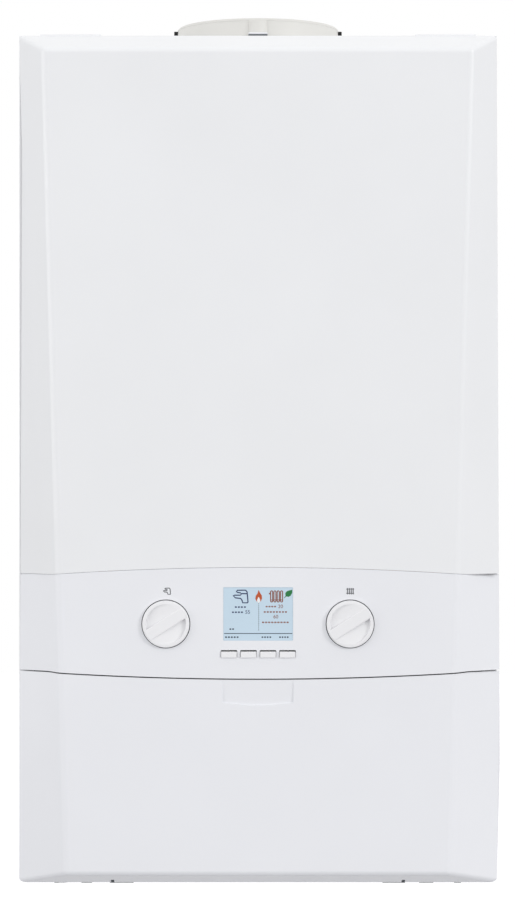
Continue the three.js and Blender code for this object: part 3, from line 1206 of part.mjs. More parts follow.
// One water block, drawn for the right side: body, feet to the back panel and two tails.
function manifold(big, small) {
  const across = [MANIFOLD_IN_X, MANIFOLD_IN_X + MANIFOLD_W];
  const body = box(across, [MANIFOLD_FRONT_Y, -MANIFOLD_REAR_Y], [MANIFOLD_Z, MANIFOLD_TOP_Z]);
  const waist = box([MANIFOLD_IN_X + MANIFOLD_W / 4, MANIFOLD_IN_X + MANIFOLD_W / 2],
    [MANIFOLD_FRONT_Y + MANIFOLD_D / 2, 0], [MANIFOLD_Z + MANIFOLD_H / 2, 2 * MANIFOLD_TOP_Z]);
  const feet = [MANIFOLD_IN_X + FOOT_R, MANIFOLD_IN_X + MANIFOLD_W - FOOT_R].map((x) =>
    bar('y', FOOT_R, [-MANIFOLD_REAR_Y - BITE, BACK_FRONT_Y - SEAT], [x, 0, MANIFOLD_Z + 2 * FOOT_R]));
  const ends = [big, small].map(([x, r]) => moved(tail(r, MANIFOLD_Z + BITE), Math.abs(x), -TAIL_Y, 0));
  return joined(cut(body, waist), ...feet, ...ends);
}

// The stack of brazed plates: every second plate stands back a little.
function plateExchanger() {
  const pitch = PLATE_HX_D / (2 * PLATE_COUNT - 1);
  const rearY = MANIFOLD_FRONT_Y - SEAT;
  const core = box(centred(0, PLATE_HX_W - 2 * PLATE_RELIEF), [rearY - PLATE_HX_D, rearY],
    [PLATE_HX_Z + PLATE_RELIEF, PLATE_HX_Z + PLATE_HX_H - PLATE_RELIEF]);
  const plates = Array.from({ length: PLATE_COUNT }, (_, i) => {
    const front = rearY - (2 * i + 1) * pitch;
    const outline = rounded(0, PLATE_HX_Z + PLATE_HX_H / 2, PLATE_HX_W, PLATE_HX_H, PLATE_HX_R);
    return plateXZ(outline, [front, front + pitch], 2);
  });
  return joined(core, ...plates);
}

const PUMP_FRONT_Y = -PUMP_REAR_Y - PUMP_D;
const PORT_Y = PUMP_FRONT_Y + PUMP_D / 2;

// The pump's volute: open at the front, with a port above and below.
function pumpBody() {
  const drum = bar('y', PUMP_R, [PUMP_FRONT_Y, -PUMP_REAR_Y], [0, 0, 0]);
  const ports = bar('z', PIPE_R + PORT_WALL, [MANIFOLD_TOP_Z + SEAT - PUMP_Z, PUMP_R + PUMP_PORT_OUT],
    [0, PORT_Y, 0]);
  return cut(joined(drum, ports),
    bar('y', PUMP_R - PUMP_WALL, [PUMP_FRONT_Y - BITE, -PUMP_REAR_Y - PUMP_WALL], [0, 0, 0]));
}

const SHAFT_END_Y = PORT_Y + PUMP_WALL;

// The pump's motor: a finned can with the shaft that carries the impeller.
function pumpMotor() {
  const rear = PUMP_FRONT_Y - SEAT;
  const can = bar('y', PUMP_MOTOR_R, [rear - PUMP_MOTOR_D, rear], [0, 0, 0]);
  const slots = Array.from({ length: PUMP_FINS }, (_, i) =>
    box([PUMP_MOTOR_R - FIN_DEPTH, PUMP_MOTOR_R + BITE],
      [rear - PUMP_MOTOR_D + FIN_END, rear - FIN_END], centred(0, FIN_GAP))
      .rotate([0, i * FULL_TURN / PUMP_FINS, 0]));
  return joined(cut(can, ...slots), bar('y', PUMP_SHAFT_R, [rear - BITE, SHAFT_END_Y], [0, 0, 0]));
}

// The pump's impeller: two shrouds with vanes between, bored for the shaft.
function pumpImpeller() {
  const [front, rear] = centred(PORT_Y, PUMP_IMPELLER_D);
  const shrouds = [[front, front + BLADE_T], [rear - BLADE_T, rear]].map((span) =>
    bar('y', PUMP_IMPELLER_R, span, [0, 0, 0]));
  const hub = bar('y', HUB_R, [front, rear], [0, 0, 0]);
  const vane = box([HUB_R - BITE, PUMP_IMPELLER_R - BLADE_SETBACK], [front + BITE, rear - BITE],
    centred(0, BLADE_T));
  const vanes = Array.from({ length: VANES }, (_, i) => vane.rotate([0, i * FULL_TURN / VANES, 0]));
  return cut(joined(...shrouds, hub, ...vanes), bar('y', PUMP_SHAFT_R + SEAT, [-CASE_D, 0], [0, 0, 0]));
}

const PUMP_TOP_Z = PUMP_Z + PUMP_R + PUMP_PORT_OUT;
const RETURN_BEND_Z = WATER_PORT_Z - RETURN_BEND_SHARE * (WATER_PORT_Z - PUMP_TOP_Z);
const FLOW_BEND_Z = WATER_PORT_Z - FLOW_BEND_DROP;
const returnPipe = pipe([[WATER_PORT_X, -WATER_PORT_Y, WATER_PORT_Z - SEAT],
  [WATER_PORT_X, -WATER_PORT_Y, RETURN_BEND_Z], [PUMP_X, PORT_Y, RETURN_BEND_Z],
  [PUMP_X, PORT_Y, PUMP_TOP_Z + SEAT]], PIPE_R, PIPE_BEND, PIPE_STEPS);
const flowPipe = pipe([[-WATER_PORT_X, -WATER_PORT_Y, WATER_PORT_Z - SEAT],
  [-WATER_PORT_X, -WATER_PORT_Y, FLOW_BEND_Z], [-FLOW_X, -TAIL_Y, FLOW_BEND_Z],
  [-FLOW_X, -TAIL_Y, MANIFOLD_TOP_Z + SEAT]], PIPE_R, PIPE_BEND, PIPE_STEPS);

const HOSE_Y = VESSEL_REAR_Y - VESSEL_D / 2;
const hose = pipe([[VESSEL_PORT_X, HOSE_Y, VESSEL_Z - VESSEL_H / 2 - VESSEL_PORT_H - SEAT],
  [VESSEL_PORT_X, HOSE_Y, HOSE_HIGH_Z], [VESSEL_PORT_X, -HOSE_END_Y, HOSE_LOW_Z],
  [VESSEL_PORT_X, -HOSE_END_Y, MANIFOLD_TOP_Z + SEAT]], HOSE_R, HOSE_BEND, HOSE_STEPS);

// The motor head that moves the diverter valve.
const actuator = joined(
  box(centred(0, ACTUATOR_W), [-ACTUATOR_D, -ACTUATOR_NECK], [0, ACTUATOR_H]),
  bar('y', ACTUATOR_NECK_R, [-ACTUATOR_NECK - BITE, 0], [0, 0, ACTUATOR_H / 2]));

const reliefValve = joined(
  bar('y', RELIEF_R, [-RELIEF_BODY_D, 0], [0, 0, 0]),
  bar('y', RELIEF_KNOB_R, [-RELIEF_BODY_D - RELIEF_KNOB_D, -RELIEF_BODY_D], [0, 0, 0]));

const VENT_NECK_Z = VENT_H - VENT_CAP_H;
const airVent = turned([[0, 0], [VENT_BOSS_R, 0], [VENT_BOSS_R, VENT_BOSS_H],
  [VENT_R, VENT_BOSS_H + VENT_EDGE], [VENT_R, VENT_NECK_Z - VENT_EDGE], [VENT_CAP_R, VENT_NECK_Z],
  [VENT_CAP_R, VENT_H], [0, VENT_H]]);

piece('expansion_vessel', expansionVessel(), FINISH.redPaint);
piece('expansion_hose', hose, FINISH.stainless);
piece('return_manifold', manifold(tails.return, tails.cold), FINISH.greyPlastic);
piece('flow_manifold', mirrored(manifold(tails.flow, tails.hot)), FINISH.greyPlastic);
piece('plate_heat_exchanger', plateExchanger(), FINISH.stainless);
piece('pump_body', pumpBody(), FINISH.greyPlastic, [PUMP_X, 0, PUMP_Z]);
piece('pump_motor', pumpMotor(), FINISH.blackPlastic, [PUMP_X, 0, PUMP_Z]);
piece('pump_impeller', pumpImpeller(), FINISH.greyPlastic, [PUMP_X, 0, PUMP_Z]);
piece('return_pipe', returnPipe, FINISH.copper);
piece('flow_pipe', flowPipe, FINISH.copper);
piece('diverter_actuator', actuator, FINISH.blackPlastic,
  [-ACTUATOR_X, MANIFOLD_FRONT_Y - SEAT, MANIFOLD_Z + ACTUATOR_RISE]);
piece('relief_valve', reliefValve, FINISH.brass, [RELIEF_X, MANIFOLD_FRONT_Y - SEAT, RELIEF_Z]);
piece('auto_air_vent', airVent, FINISH.brass, [-VENT_X, -FAN_Y, VENT_SEAT_Z + SEAT]);

export default boiler;
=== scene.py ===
"""Wall-hung combi boiler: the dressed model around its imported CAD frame.

Lengths are written in millimetres from the casing's underside, x across from the
middle, y from the wall (the front faces -Y), and become metres in the part's frame.
"""

from __future__ import annotations

import json
import logging
import math
from dataclasses import dataclass, field
from enum import Enum
from typing import Callable, Iterable, Sequence

import bmesh
import bpy
from bpy.types import Object
from mathutils import Euler, Matrix, Vector

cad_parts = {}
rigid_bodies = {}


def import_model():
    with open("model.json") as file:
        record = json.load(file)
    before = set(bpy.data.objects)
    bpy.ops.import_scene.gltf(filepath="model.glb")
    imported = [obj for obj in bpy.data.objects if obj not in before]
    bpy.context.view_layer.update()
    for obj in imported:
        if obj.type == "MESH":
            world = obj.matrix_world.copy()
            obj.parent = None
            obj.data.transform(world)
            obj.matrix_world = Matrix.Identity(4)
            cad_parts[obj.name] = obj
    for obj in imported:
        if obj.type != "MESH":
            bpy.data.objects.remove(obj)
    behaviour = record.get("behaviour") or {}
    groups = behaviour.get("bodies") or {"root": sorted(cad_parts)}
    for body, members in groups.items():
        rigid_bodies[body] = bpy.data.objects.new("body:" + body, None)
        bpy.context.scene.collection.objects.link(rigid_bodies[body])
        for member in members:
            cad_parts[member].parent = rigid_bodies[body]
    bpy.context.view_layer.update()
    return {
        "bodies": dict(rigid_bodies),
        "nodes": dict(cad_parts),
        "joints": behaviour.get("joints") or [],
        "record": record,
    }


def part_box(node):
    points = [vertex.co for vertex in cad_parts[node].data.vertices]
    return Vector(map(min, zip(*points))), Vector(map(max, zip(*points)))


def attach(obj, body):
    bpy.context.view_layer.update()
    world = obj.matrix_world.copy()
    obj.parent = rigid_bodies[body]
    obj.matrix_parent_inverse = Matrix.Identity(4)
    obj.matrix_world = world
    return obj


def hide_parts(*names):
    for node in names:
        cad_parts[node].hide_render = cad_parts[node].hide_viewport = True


LOG = logging.getLogger("boiler")
MM = 0.001
HANG_Z = 640.0  # the part's origin, the middle of the wall bracket
FRONT = -278.0  # the flat face of the front
HALF_WIDTH = 197.5  # the casing's sides
DECK = 700.3  # a little over the top sheet
PAST_SIDES = 260.0  # where lines across the front end, clear of the casing
FLAT_ANGLE = math.radians(28)  # faces that meet at less are shaded as one
EDGE_ANGLE = math.radians(50)  # a turned piece's edges over this stay sharp
TO_PART = Matrix.Translation((0, 0, -HANG_Z * MM)) @ Matrix.Scale(MM, 4)

Point = tuple[float, float, float]
Span = tuple[float, float]
Colour = tuple[float, float, float]


# ---------------------------------------------------------------- finishes


class Pattern(Enum):
    """What a surface shows close up."""

    PAINT = "sprayed enamel with a faint orange peel"
    MOULDED = "spark-eroded mould grain"
    SPANGLE = "galvanised sheet"
    BRUSHED = "drawn or rolled metal"
    CAST = "die-cast skin"
    TUBE = "drawn copper with darker patches"
    BOARD = "solder resist over copper tracks"
    GLASS = "screen with its pixel grid"
    PRINT = "pad-printed ink"


@dataclass(frozen=True)
class Finish:
    """One finish: the record's slot for it, its colour as 0 to 255 and how it shines."""

    name: str
    slot: str
    colour: Colour
    pattern: Pattern
    roughness: float
    metallic: float = 0.0
    coat: float = 0.0
    bump: float = 0.1
    glow: float = 0.0


class Finishes:
    """Every finish that the boiler uses."""

    ENAMEL = Finish("white_enamel", "white_paint", (238, 239, 241), Pattern.PAINT, 0.34,
                    coat=0.25, bump=0.05)
    CASING = Finish("white_moulding", "white_plastic", (237, 238, 242), Pattern.MOULDED, 0.38,
                    coat=0.15, bump=0.05)
    KNOB = Finish("knob_moulding", "white_plastic", (240, 240, 242), Pattern.MOULDED, 0.34,
                  coat=0.2, bump=0.04)
    FLUE = Finish("flue_moulding", "flue_plastic", (220, 219, 215), Pattern.MOULDED, 0.46,
                  bump=0.07)
    RUBBER = Finish("seal_rubber", "rubber", (24, 24, 25), Pattern.MOULDED, 0.72, bump=0.2)
    ZINC = Finish("zinc_sheet", "zinc_sheet", (182, 186, 189), Pattern.SPANGLE, 0.42,
                  metallic=0.85)
    STEEL = Finish("stainless", "stainless", (188, 190, 192), Pattern.BRUSHED, 0.3, metallic=1.0)
    CAST = Finish("cast_aluminium", "cast_aluminium", (166, 168, 171), Pattern.CAST, 0.52,
                  metallic=0.85, bump=0.3)
    BRASS = Finish("brass", "brass", (190, 158, 84), Pattern.BRUSHED, 0.32, metallic=1.0)
    COPPER = Finish("copper", "copper", (190, 112, 72), Pattern.TUBE, 0.3, metallic=1.0)
    BLACK = Finish("black_moulding", "black_plastic", (36, 37, 39), Pattern.MOULDED, 0.55,
                   bump=0.2)
    GREY = Finish("grey_moulding", "grey_plastic", (107, 112, 117), Pattern.MOULDED, 0.55,
                  bump=0.2)
    RED = Finish("red_enamel", "red_paint", (176, 52, 42), Pattern.PAINT, 0.42, bump=0.12)
    BOARD = Finish("circuit_board", "board", (42, 100, 64), Pattern.BOARD, 0.45, coat=0.3)
    CERAMIC = Finish("ceramic", "ceramic", (233, 228, 216), Pattern.MOULDED, 0.3, coat=0.6,
                     bump=0.05)
    SCREEN = Finish("lit_screen", "screen", (176, 194, 207), Pattern.GLASS, 0.35, glow=0.3)
    NAVY = Finish("navy_ink", "black_plastic", (16, 34, 84), Pattern.PRINT, 0.6)
    RUST = Finish("rust_ink", "red_paint", (132, 74, 54), Pattern.PRINT, 0.6)
    FLAME = Finish("flame_ink", "red_paint", (186, 82, 38), Pattern.PRINT, 0.6)
    LEAF = Finish("leaf_ink", "board", (28, 116, 60), Pattern.PRINT, 0.6)
    SLATE = Finish("slate_ink", "black_plastic", (42, 56, 72), Pattern.PRINT, 0.6)
    GREY_INK = Finish("grey_ink", "grey_plastic", (92, 94, 98), Pattern.PRINT, 0.6)
    PALE = Finish("pale_ink", "white_plastic", (240, 241, 242), Pattern.PRINT, 0.5)


def linear(colour: Colour) -> tuple[float, float, float, float]:
    """Turn an sRGB colour of 0 to 255 into the linear colour that Blender takes."""
    def one(value: float) -> float:
        share = value / 255
        return share / 12.92 if share <= 0.04045 else ((share + 0.055) / 1.055) ** 2.4
    return (*(one(c) for c in colour), 1.0)


def shade(colour: Colour, factor: float) -> Colour:
    """Return the colour made darker or lighter by a factor, kept in range."""
    return tuple(min(255.0, c * factor) for c in colour)


def operator(operation: str, swapped: bool = False) -> Callable[..., Wire]:
    """Return a method of Wire that adds a Math node, with its two values swapped or not."""
    def method(wire: Wire, other: Wire | float) -> Wire:
        values = (other, wire) if swapped else (wire, other)
        return wire.bench.add("ShaderNodeMath", {"operation": operation}, dict(enumerate(values)))
    return method


class Wire:
    """A shader socket that takes part in Python arithmetic."""

    def __init__(self, bench: NodeBench, socket: bpy.types.NodeSocket | None) -> None:
        """Wrap one output socket of a node on a bench."""
        self.bench = bench
        self.socket = socket

    __add__ = __radd__ = operator("ADD")
    __mul__ = __rmul__ = operator("MULTIPLY")
    __sub__ = operator("SUBTRACT")
    __rsub__ = operator("SUBTRACT", swapped=True)
    power = operator("POWER")
    above = operator("GREATER_THAN")


class NodeBench:
    """Builds the node tree of one material or world."""

    def __init__(self, tree: bpy.types.NodeTree) -> None:
        """Clear the tree and start on it."""
        self.tree = tree
        tree.nodes.clear()

    def add(
        self,
        kind: str,
        settings: dict[str, object] | None = None,
        values: dict[str | int, object] | None = None,
        output: str | int = 0,
    ) -> Wire:
        """Add a node.

        Args:
            kind: The node's type.
            settings: Its properties, set first; "stops" fills a colour ramp.
            values: What each input socket takes: a number, a colour or a Wire.
            output: The output socket that is returned.

        Returns:
            The chosen output, ready for arithmetic.
        """
        node = self.tree.nodes.new(kind)
        for name, value in (settings or {}).items():
            if name == "stops":
                self._fill_ramp(node.color_ramp, value)
            else:
                setattr(node, name, value)
        for name, value in (values or {}).items():
            if isinstance(value, Wire):
                self.tree.links.new(value.socket, node.inputs[name])
            else:
                node.inputs[name].default_value = value
        return Wire(self, node.outputs[output] if node.outputs else None)

    @staticmethod
    def _fill_ramp(ramp: bpy.types.ColorRamp, stops: Sequence[tuple[float, float]]) -> None:
        """Give a ramp its grey stops, each a place and a level."""
        while len(ramp.elements) < len(stops):
            ramp.elements.new(1.0)
        for element, (place, level) in zip(ramp.elements, stops):
            element.position = place
            element.color = (level, level, level, 1.0)

    def place(self, scale: Point = (1, 1, 1)) -> Wire:
        """Return object coordinates, stretched by a scale along each axis."""
        where = self.add("ShaderNodeTexCoord", output="Object")
        return self.add("ShaderNodeMapping", values={"Vector": where, "Scale": scale})

    def noise(self, scale: float, detail: float = 3.0, stretch: Point = (1, 1, 1)) -> Wire:
        """Return noise of 0 to 1 on object coordinates, in cycles a metre."""
        return self.add("ShaderNodeTexNoise", values={
            "Vector": self.place(stretch), "Scale": scale, "Detail": detail, "Roughness": 0.55,
        }, output="Fac")

    def cells(self, scale: float, output: str = "Distance") -> Wire:
        """Return a Voronoi pattern on object coordinates."""
        return self.add("ShaderNodeTexVoronoi", values={"Vector": self.place(), "Scale": scale},
                        output=output)

    def mix(self, share: Wire | float, first: Colour, second: Colour) -> Wire:
        """Mix two colours of 0 to 255 by a share."""
        values = {"Factor": share, 6: linear(first), 7: linear(second)}
        return self.add("ShaderNodeMix", {"data_type": "RGBA"}, values, output=2)


@dataclass
class PaintShop:
    """Makes each finish's material once."""

    made: dict[str, bpy.types.Material] = field(default_factory=dict)

    def material(self, finish: Finish) -> bpy.types.Material:
        """Return the material for a finish, made on first use."""
        if finish.name not in self.made:
            self.made[finish.name] = self._mix_paint(finish)
        return self.made[finish.name]

    def _mix_paint(self, finish: Finish) -> bpy.types.Material:
        """Build a finish's material and its node tree."""
        material = bpy.data.materials.new(finish.name)
        material.use_nodes = True
        bench = NodeBench(material.node_tree)
        colour, rough, height, depth = self._surface(bench, finish)
        normal = bench.add("ShaderNodeBump", values={
            "Strength": finish.bump, "Distance": depth, "Height": height})
        values = {
            "Base Color": colour, "Roughness": rough, "Metallic": finish.metallic,
            "Coat Weight": finish.coat, "Coat Roughness": 0.2, "Normal": normal,
        }
        if finish.glow:
            values["Emission Color"] = colour
            values["Emission Strength"] = finish.glow
        shader = bench.add("ShaderNodeBsdfPrincipled", values=values)
        bench.add("ShaderNodeOutputMaterial", values={"Surface": shader})
        return material

    @staticmethod
    def _surface(bench: NodeBench, finish: Finish) -> tuple[Wire, Wire, Wire, float]:
        """Draw a finish's pattern.

        Args:
            bench: The bench to add nodes on.
            finish: The finish to draw.

        Returns:
            Colour, roughness and height sockets, and the height's depth in metres.
        """
        broad, fine = bench.noise(9.0, 2.0), bench.noise(60.0, 4.0)
        match finish.pattern:
            case Pattern.PAINT:
                share, shades, worn = broad, (0.985, 1.01), 0.08 * fine
                height, depth = bench.noise(420.0, 2.0) + 0.3 * bench.noise(1500.0, 1.0), 0.0003
            case Pattern.MOULDED:
                height, depth = bench.noise(2600.0, 2.0), 0.0002
                share, shades, worn = 0.7 * broad + 0.3 * height, (0.98, 1.012), 0.1 * fine
            case Pattern.SPANGLE:
                height, depth = bench.noise(40.0, 3.0, (1, 1, 0.06)), 0.0001
                share = bench.add("ShaderNodeSeparateColor", values={
                    "Color": bench.cells(170.0, "Color")})
                shades, worn = (0.93, 1.05), 0.1 * height - 0.06 * share
            case Pattern.BRUSHED:
                height, depth = bench.noise(900.0, 3.0, (1, 1, 0.04)), 0.00008
                share, shades, worn = 0.6 * height + 0.4 * fine, (0.86, 1.06), 0.14 * height
            case Pattern.CAST:
                height, depth = bench.noise(700.0, 5.0), 0.0005
                share, shades, worn = 0.5 * height + 0.5 * fine, (0.82, 1.08), 0.2 * fine
            case Pattern.TUBE:
                height, depth = fine, 0.0002
                share, shades, worn = bench.noise(26.0, 5.0).power(1.6), (1.1, 0.66), 0.22 * fine
            case Pattern.BOARD:
                share = bench.add("ShaderNodeTexBrick", {"offset": 0.5}, {
                    "Vector": bench.place(), "Scale": 60.0, "Mortar Size": 0.03}, "Fac")
                height, depth, shades, worn = share, 0.0001, (1.0, 1.35), 0.1 * fine
            case Pattern.GLASS:
                height, depth = bench.cells(3200.0), 0.00002
                share, shades, worn = bench.noise(24.0, 1.0), (0.985, 1.015), 0.05 * fine
            case Pattern.PRINT:
                height, depth = bench.noise(3000.0, 2.0), 0.00005
                share, shades, worn = height, (0.94, 1.06), 0.1 * height
        first, second = (shade(finish.colour, factor) for factor in shades)
        return bench.mix(share, first, second), finish.roughness + worn, height, depth


# ---------------------------------------------------------------- workshop

SHOP = PaintShop()


class Axis(Enum):
    """Which way a turned piece points."""

    X = (0, math.pi / 2, 0)
    Y = (-math.pi / 2, 0, 0)
    Z = (0, 0, 0)

    def stand(self) -> Matrix:
        """Return the turn that lays a piece made along +Z along this axis."""
        return Euler(self.value).to_matrix().to_4x4()


class Stock:
    """Material being shaped: one bmesh, in millimetres from the casing's underside."""

    def __init__(self) -> None:
        """Start with nothing."""
        self.bm = bmesh.new()

    def block(self, x: Span, y: Span, z: Span, round_by: float = 0.0, steps: int = 2) -> Stock:
        """Add a box.

        Args:
            x: Its reach along x.
            y: Its reach along y.
            z: Its reach along z.
            round_by: Radius of all its edges.
            steps: Facets of each rounding.

        Returns:
            This stock.
        """
        sizes = Vector((x[1] - x[0], y[1] - y[0], z[1] - z[0]))
        middle = Vector((sum(x), sum(y), sum(z))) / 2
        matrix = Matrix.Translation(middle) @ Matrix.Diagonal((*sizes, 1))
        made = bmesh.ops.create_cube(self.bm, size=1, matrix=matrix)
        if round_by:
            edges = list({edge for vert in made["verts"] for edge in vert.link_edges})
            self.round_edges(edges, round_by, steps)
        return self

    def round_edges(self, edges: list[bmesh.types.BMEdge], radius: float, steps: int = 2) -> None:
        """Round edges by a radius in some steps."""
        bmesh.ops.bevel(self.bm, geom=edges, offset=radius, segments=steps, profile=0.5,
                        affect="EDGES", material=-1, clamp_overlap=True)

    def turn(self, profile: Sequence[Span], centre: Point, axis: Axis = Axis.Z,
             steps: int = 48) -> Stock:
        """Add a turned solid.

        Args:
            profile: Pairs of radius and height; open ends must lie on the axis.
            centre: Where height 0 of the axis stands.
            axis: Which way the height runs.
            steps: Facets round the axis.

        Returns:
            This stock.
        """
        bm = bmesh.new()
        verts = [bm.verts.new((radius, 0, height)) for radius, height in profile]
        edges = [bm.edges.new(pair) for pair in zip(verts, verts[1:])]
        if profile[0][0] > 0:
            edges.append(bm.edges.new((verts[-1], verts[0])))
        bmesh.ops.spin(bm, geom=[*verts, *edges], cent=(0, 0, 0), axis=(0, 0, 1),
                       angle=math.tau, steps=steps, use_merge=True)
        bmesh.ops.remove_doubles(bm, verts=bm.verts, dist=1e-4)
        bmesh.ops.transform(bm, verts=bm.verts, matrix=Matrix.Translation(centre) @ axis.stand())
        return self.add(bm)

    def bar(self, radius: float, span: Span, centre: Point, axis: Axis, steps: int = 48,
            edge: float = 0.3) -> Stock:
        """Add a round bar with eased ends along an axis."""
        low, high = span
        profile = [(0, low), (radius - edge, low), (radius, low + edge), (radius, high - edge),
                   (radius - edge, high), (0, high)]
        return self.turn(profile, centre, axis, steps)

    def hexagon(self, across: float, span: Span, centre: Point) -> Stock:
        """Add an upright hexagonal nut with eased edges, measured across its corners."""
        bm = bmesh.new()
        made = bmesh.ops.create_cone(
            bm, cap_ends=True, segments=6, radius1=across / 2, radius2=across / 2,
            depth=span[1] - span[0],
            matrix=Matrix.Translation((centre[0], centre[1], centre[2] + sum(span) / 2)))
        edges = list({edge for vert in made["verts"] for edge in vert.link_edges})
        bmesh.ops.bevel(bm, geom=edges, offset=0.7, segments=2, profile=0.5, affect="EDGES",
                        material=-1)
        return self.add(bm)

    def prism(self, outline: Sequence[Span], y: Span) -> Stock:
        """Add a shape drawn in x and z and pushed along y."""
        bm = bmesh.new()
        face = bm.faces.new([bm.verts.new((px, y[0], pz)) for px, pz in outline])
        pushed = bmesh.ops.extrude_face_region(bm, geom=[face])
        verts = [item for item in pushed["geom"] if isinstance(item, bmesh.types.BMVert)]
        bmesh.ops.translate(bm, verts=verts, vec=(0, y[1] - y[0], 0))
        return self.add(bm)

    def add(self, other: bmesh.types.BMesh) -> Stock:
        """Take in another bmesh, faces outwards, and use it up."""
        bmesh.ops.recalc_face_normals(other, faces=other.faces)
        scratch = mesh_of(other, "scratch")
        self.bm.from_mesh(scratch)
        bpy.data.meshes.remove(scratch)
        return self

    def spin(self, matrix: Matrix) -> Stock:
        """Move everything so far by a matrix."""
        bmesh.ops.transform(self.bm, verts=self.bm.verts, matrix=matrix)
        return self

    def piece(self, name: str) -> Object:
        """Make an object of the stock, in metres in the part's frame, and use it up."""
        bmesh.ops.transform(self.bm, verts=self.bm.verts, matrix=TO_PART)
        return placed(name, mesh_of(self.bm, name))


def mesh_of(bm: bmesh.types.BMesh, name: str) -> bpy.types.Mesh:
    """Make a mesh of a bmesh and use the bmesh up."""
    mesh = bpy.data.meshes.new(name)
    bm.to_mesh(mesh)
    bm.free()
    return mesh


def placed(name: str, data: bpy.types.ID) -> Object:
    """Make an object of some data and put it in the scene."""
    thing = bpy.data.objects.new(name, data)
    bpy.context.scene.collection.objects.link(thing)
    return thing


def final_mesh(thing: Object) -> bpy.types.Mesh:
    """Return a new mesh of an object as its modifiers and settings leave it."""
    seen = thing.evaluated_get(bpy.context.evaluated_depsgraph_get())
    return bpy.data.meshes.new_from_object(seen)


def span(middle: float, width: float) -> Span:
    """Return the span of a width about a middle."""
    return (middle - width / 2, middle + width / 2)


def circle(radius: float, count: int, middle: Span = (0, 0), start: float = 0.0) -> list[Span]:
    """Return evenly spaced points on a circle, the first some share of a step round."""
    angles = (math.tau * (i + start) / count for i in range(count))
    return [(middle[0] + radius * math.cos(a), middle[1] + radius * math.sin(a)) for a in angles]


def bow(half: float, level: float, rise: float, steps: int) -> list[Span]:
    """Return a bowed line's points in x and z, from left to right."""
    shares = [2 * i / steps - 1 for i in range(steps + 1)]
    return [(share * half, level + rise * (1 - share * share)) for share in shares]


def across(level: float) -> list[Span]:
    """Return a level line in x and z that runs past both sides."""
    return [(-PAST_SIDES, level), (PAST_SIDES, level)]


def cut(thing: Object, tools: Iterable[Object], keep: bool = False) -> None:
    """Cut an object with tools, or keep only what lies inside them, and drop the tools."""
    for tool in list(tools):
        modifier = thing.modifiers.new("cut", "BOOLEAN")
        modifier.operation = "INTERSECT" if keep else "DIFFERENCE"
        modifier.solver = "EXACT"
        modifier.object = tool
        settle(thing)
        bpy.data.objects.remove(tool)


def settle(thing: Object) -> None:
    """Apply an object's modifiers to its mesh."""
    mesh = final_mesh(thing)
    thing.modifiers.clear()
    old, thing.data = thing.data, mesh
    bpy.data.meshes.remove(old)


def join(main: Object, others: Iterable[Object]) -> None:
    """Put other objects' meshes into the main one as they are, and drop them."""
    bm = bmesh.new()
    bm.from_mesh(main.data)
    for other in list(others):
        bm.from_mesh(other.data)
        bpy.data.objects.remove(other)
    bm.to_mesh(main.data)
    bm.free()


def soften(thing: Object, radius: float, steps: int = 2, limit: float = 40.0) -> None:
    """Round the sharp edges of a finished piece, by a radius in millimetres."""
    bevel = thing.modifiers.new("eased edges", "BEVEL")
    bevel.width = radius * MM
    bevel.segments = steps
    bevel.limit_method = "ANGLE"
    bevel.angle_limit = math.radians(limit)
    bevel.miter_outer = "MITER_ARC"


def dress(thing: Object, finish: Finish, body: str = "chassis",
          stands_for: Sequence[str] = ()) -> None:
    """Finish a piece that is already in place and hand it to the frame.

    Args:
        thing: The piece.
        finish: What covers it.
        body: The body that carries it.
        stands_for: The CAD nodes that it replaces.
    """
    thing.data.materials.clear()
    thing.data.materials.append(SHOP.material(finish))
    thing.data.polygons.foreach_set("use_smooth", [True] * len(thing.data.polygons))
    thing.data.set_sharp_from_angle(angle=FLAT_ANGLE)
    weighted = thing.modifiers.new("level faces", "WEIGHTED_NORMAL")
    weighted.keep_sharp = True
    weighted.weight = 80
    if stands_for:
        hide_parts(*stands_for)
    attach(thing, body)
    LOG.info("%s rides on %s", thing.name, body)


# ---------------------------------------------------------------- front shells


@dataclass(frozen=True)
class Split:
    """A bowed gap across the front: its height at the sides and its rise in the middle."""

    height: float
    rise: float
    half_span: float = 172.0
    gap: float = 1.0
    steps: int = 32

    def line(self, side: int) -> list[Span]:
        """Return the gap's upper (1) or lower (-1) edge, from left to right, in x and z."""
        level = self.height + side * self.gap / 2
        left, right = across(level)
        return [left, *bow(self.half_span, level, self.rise, self.steps), right]


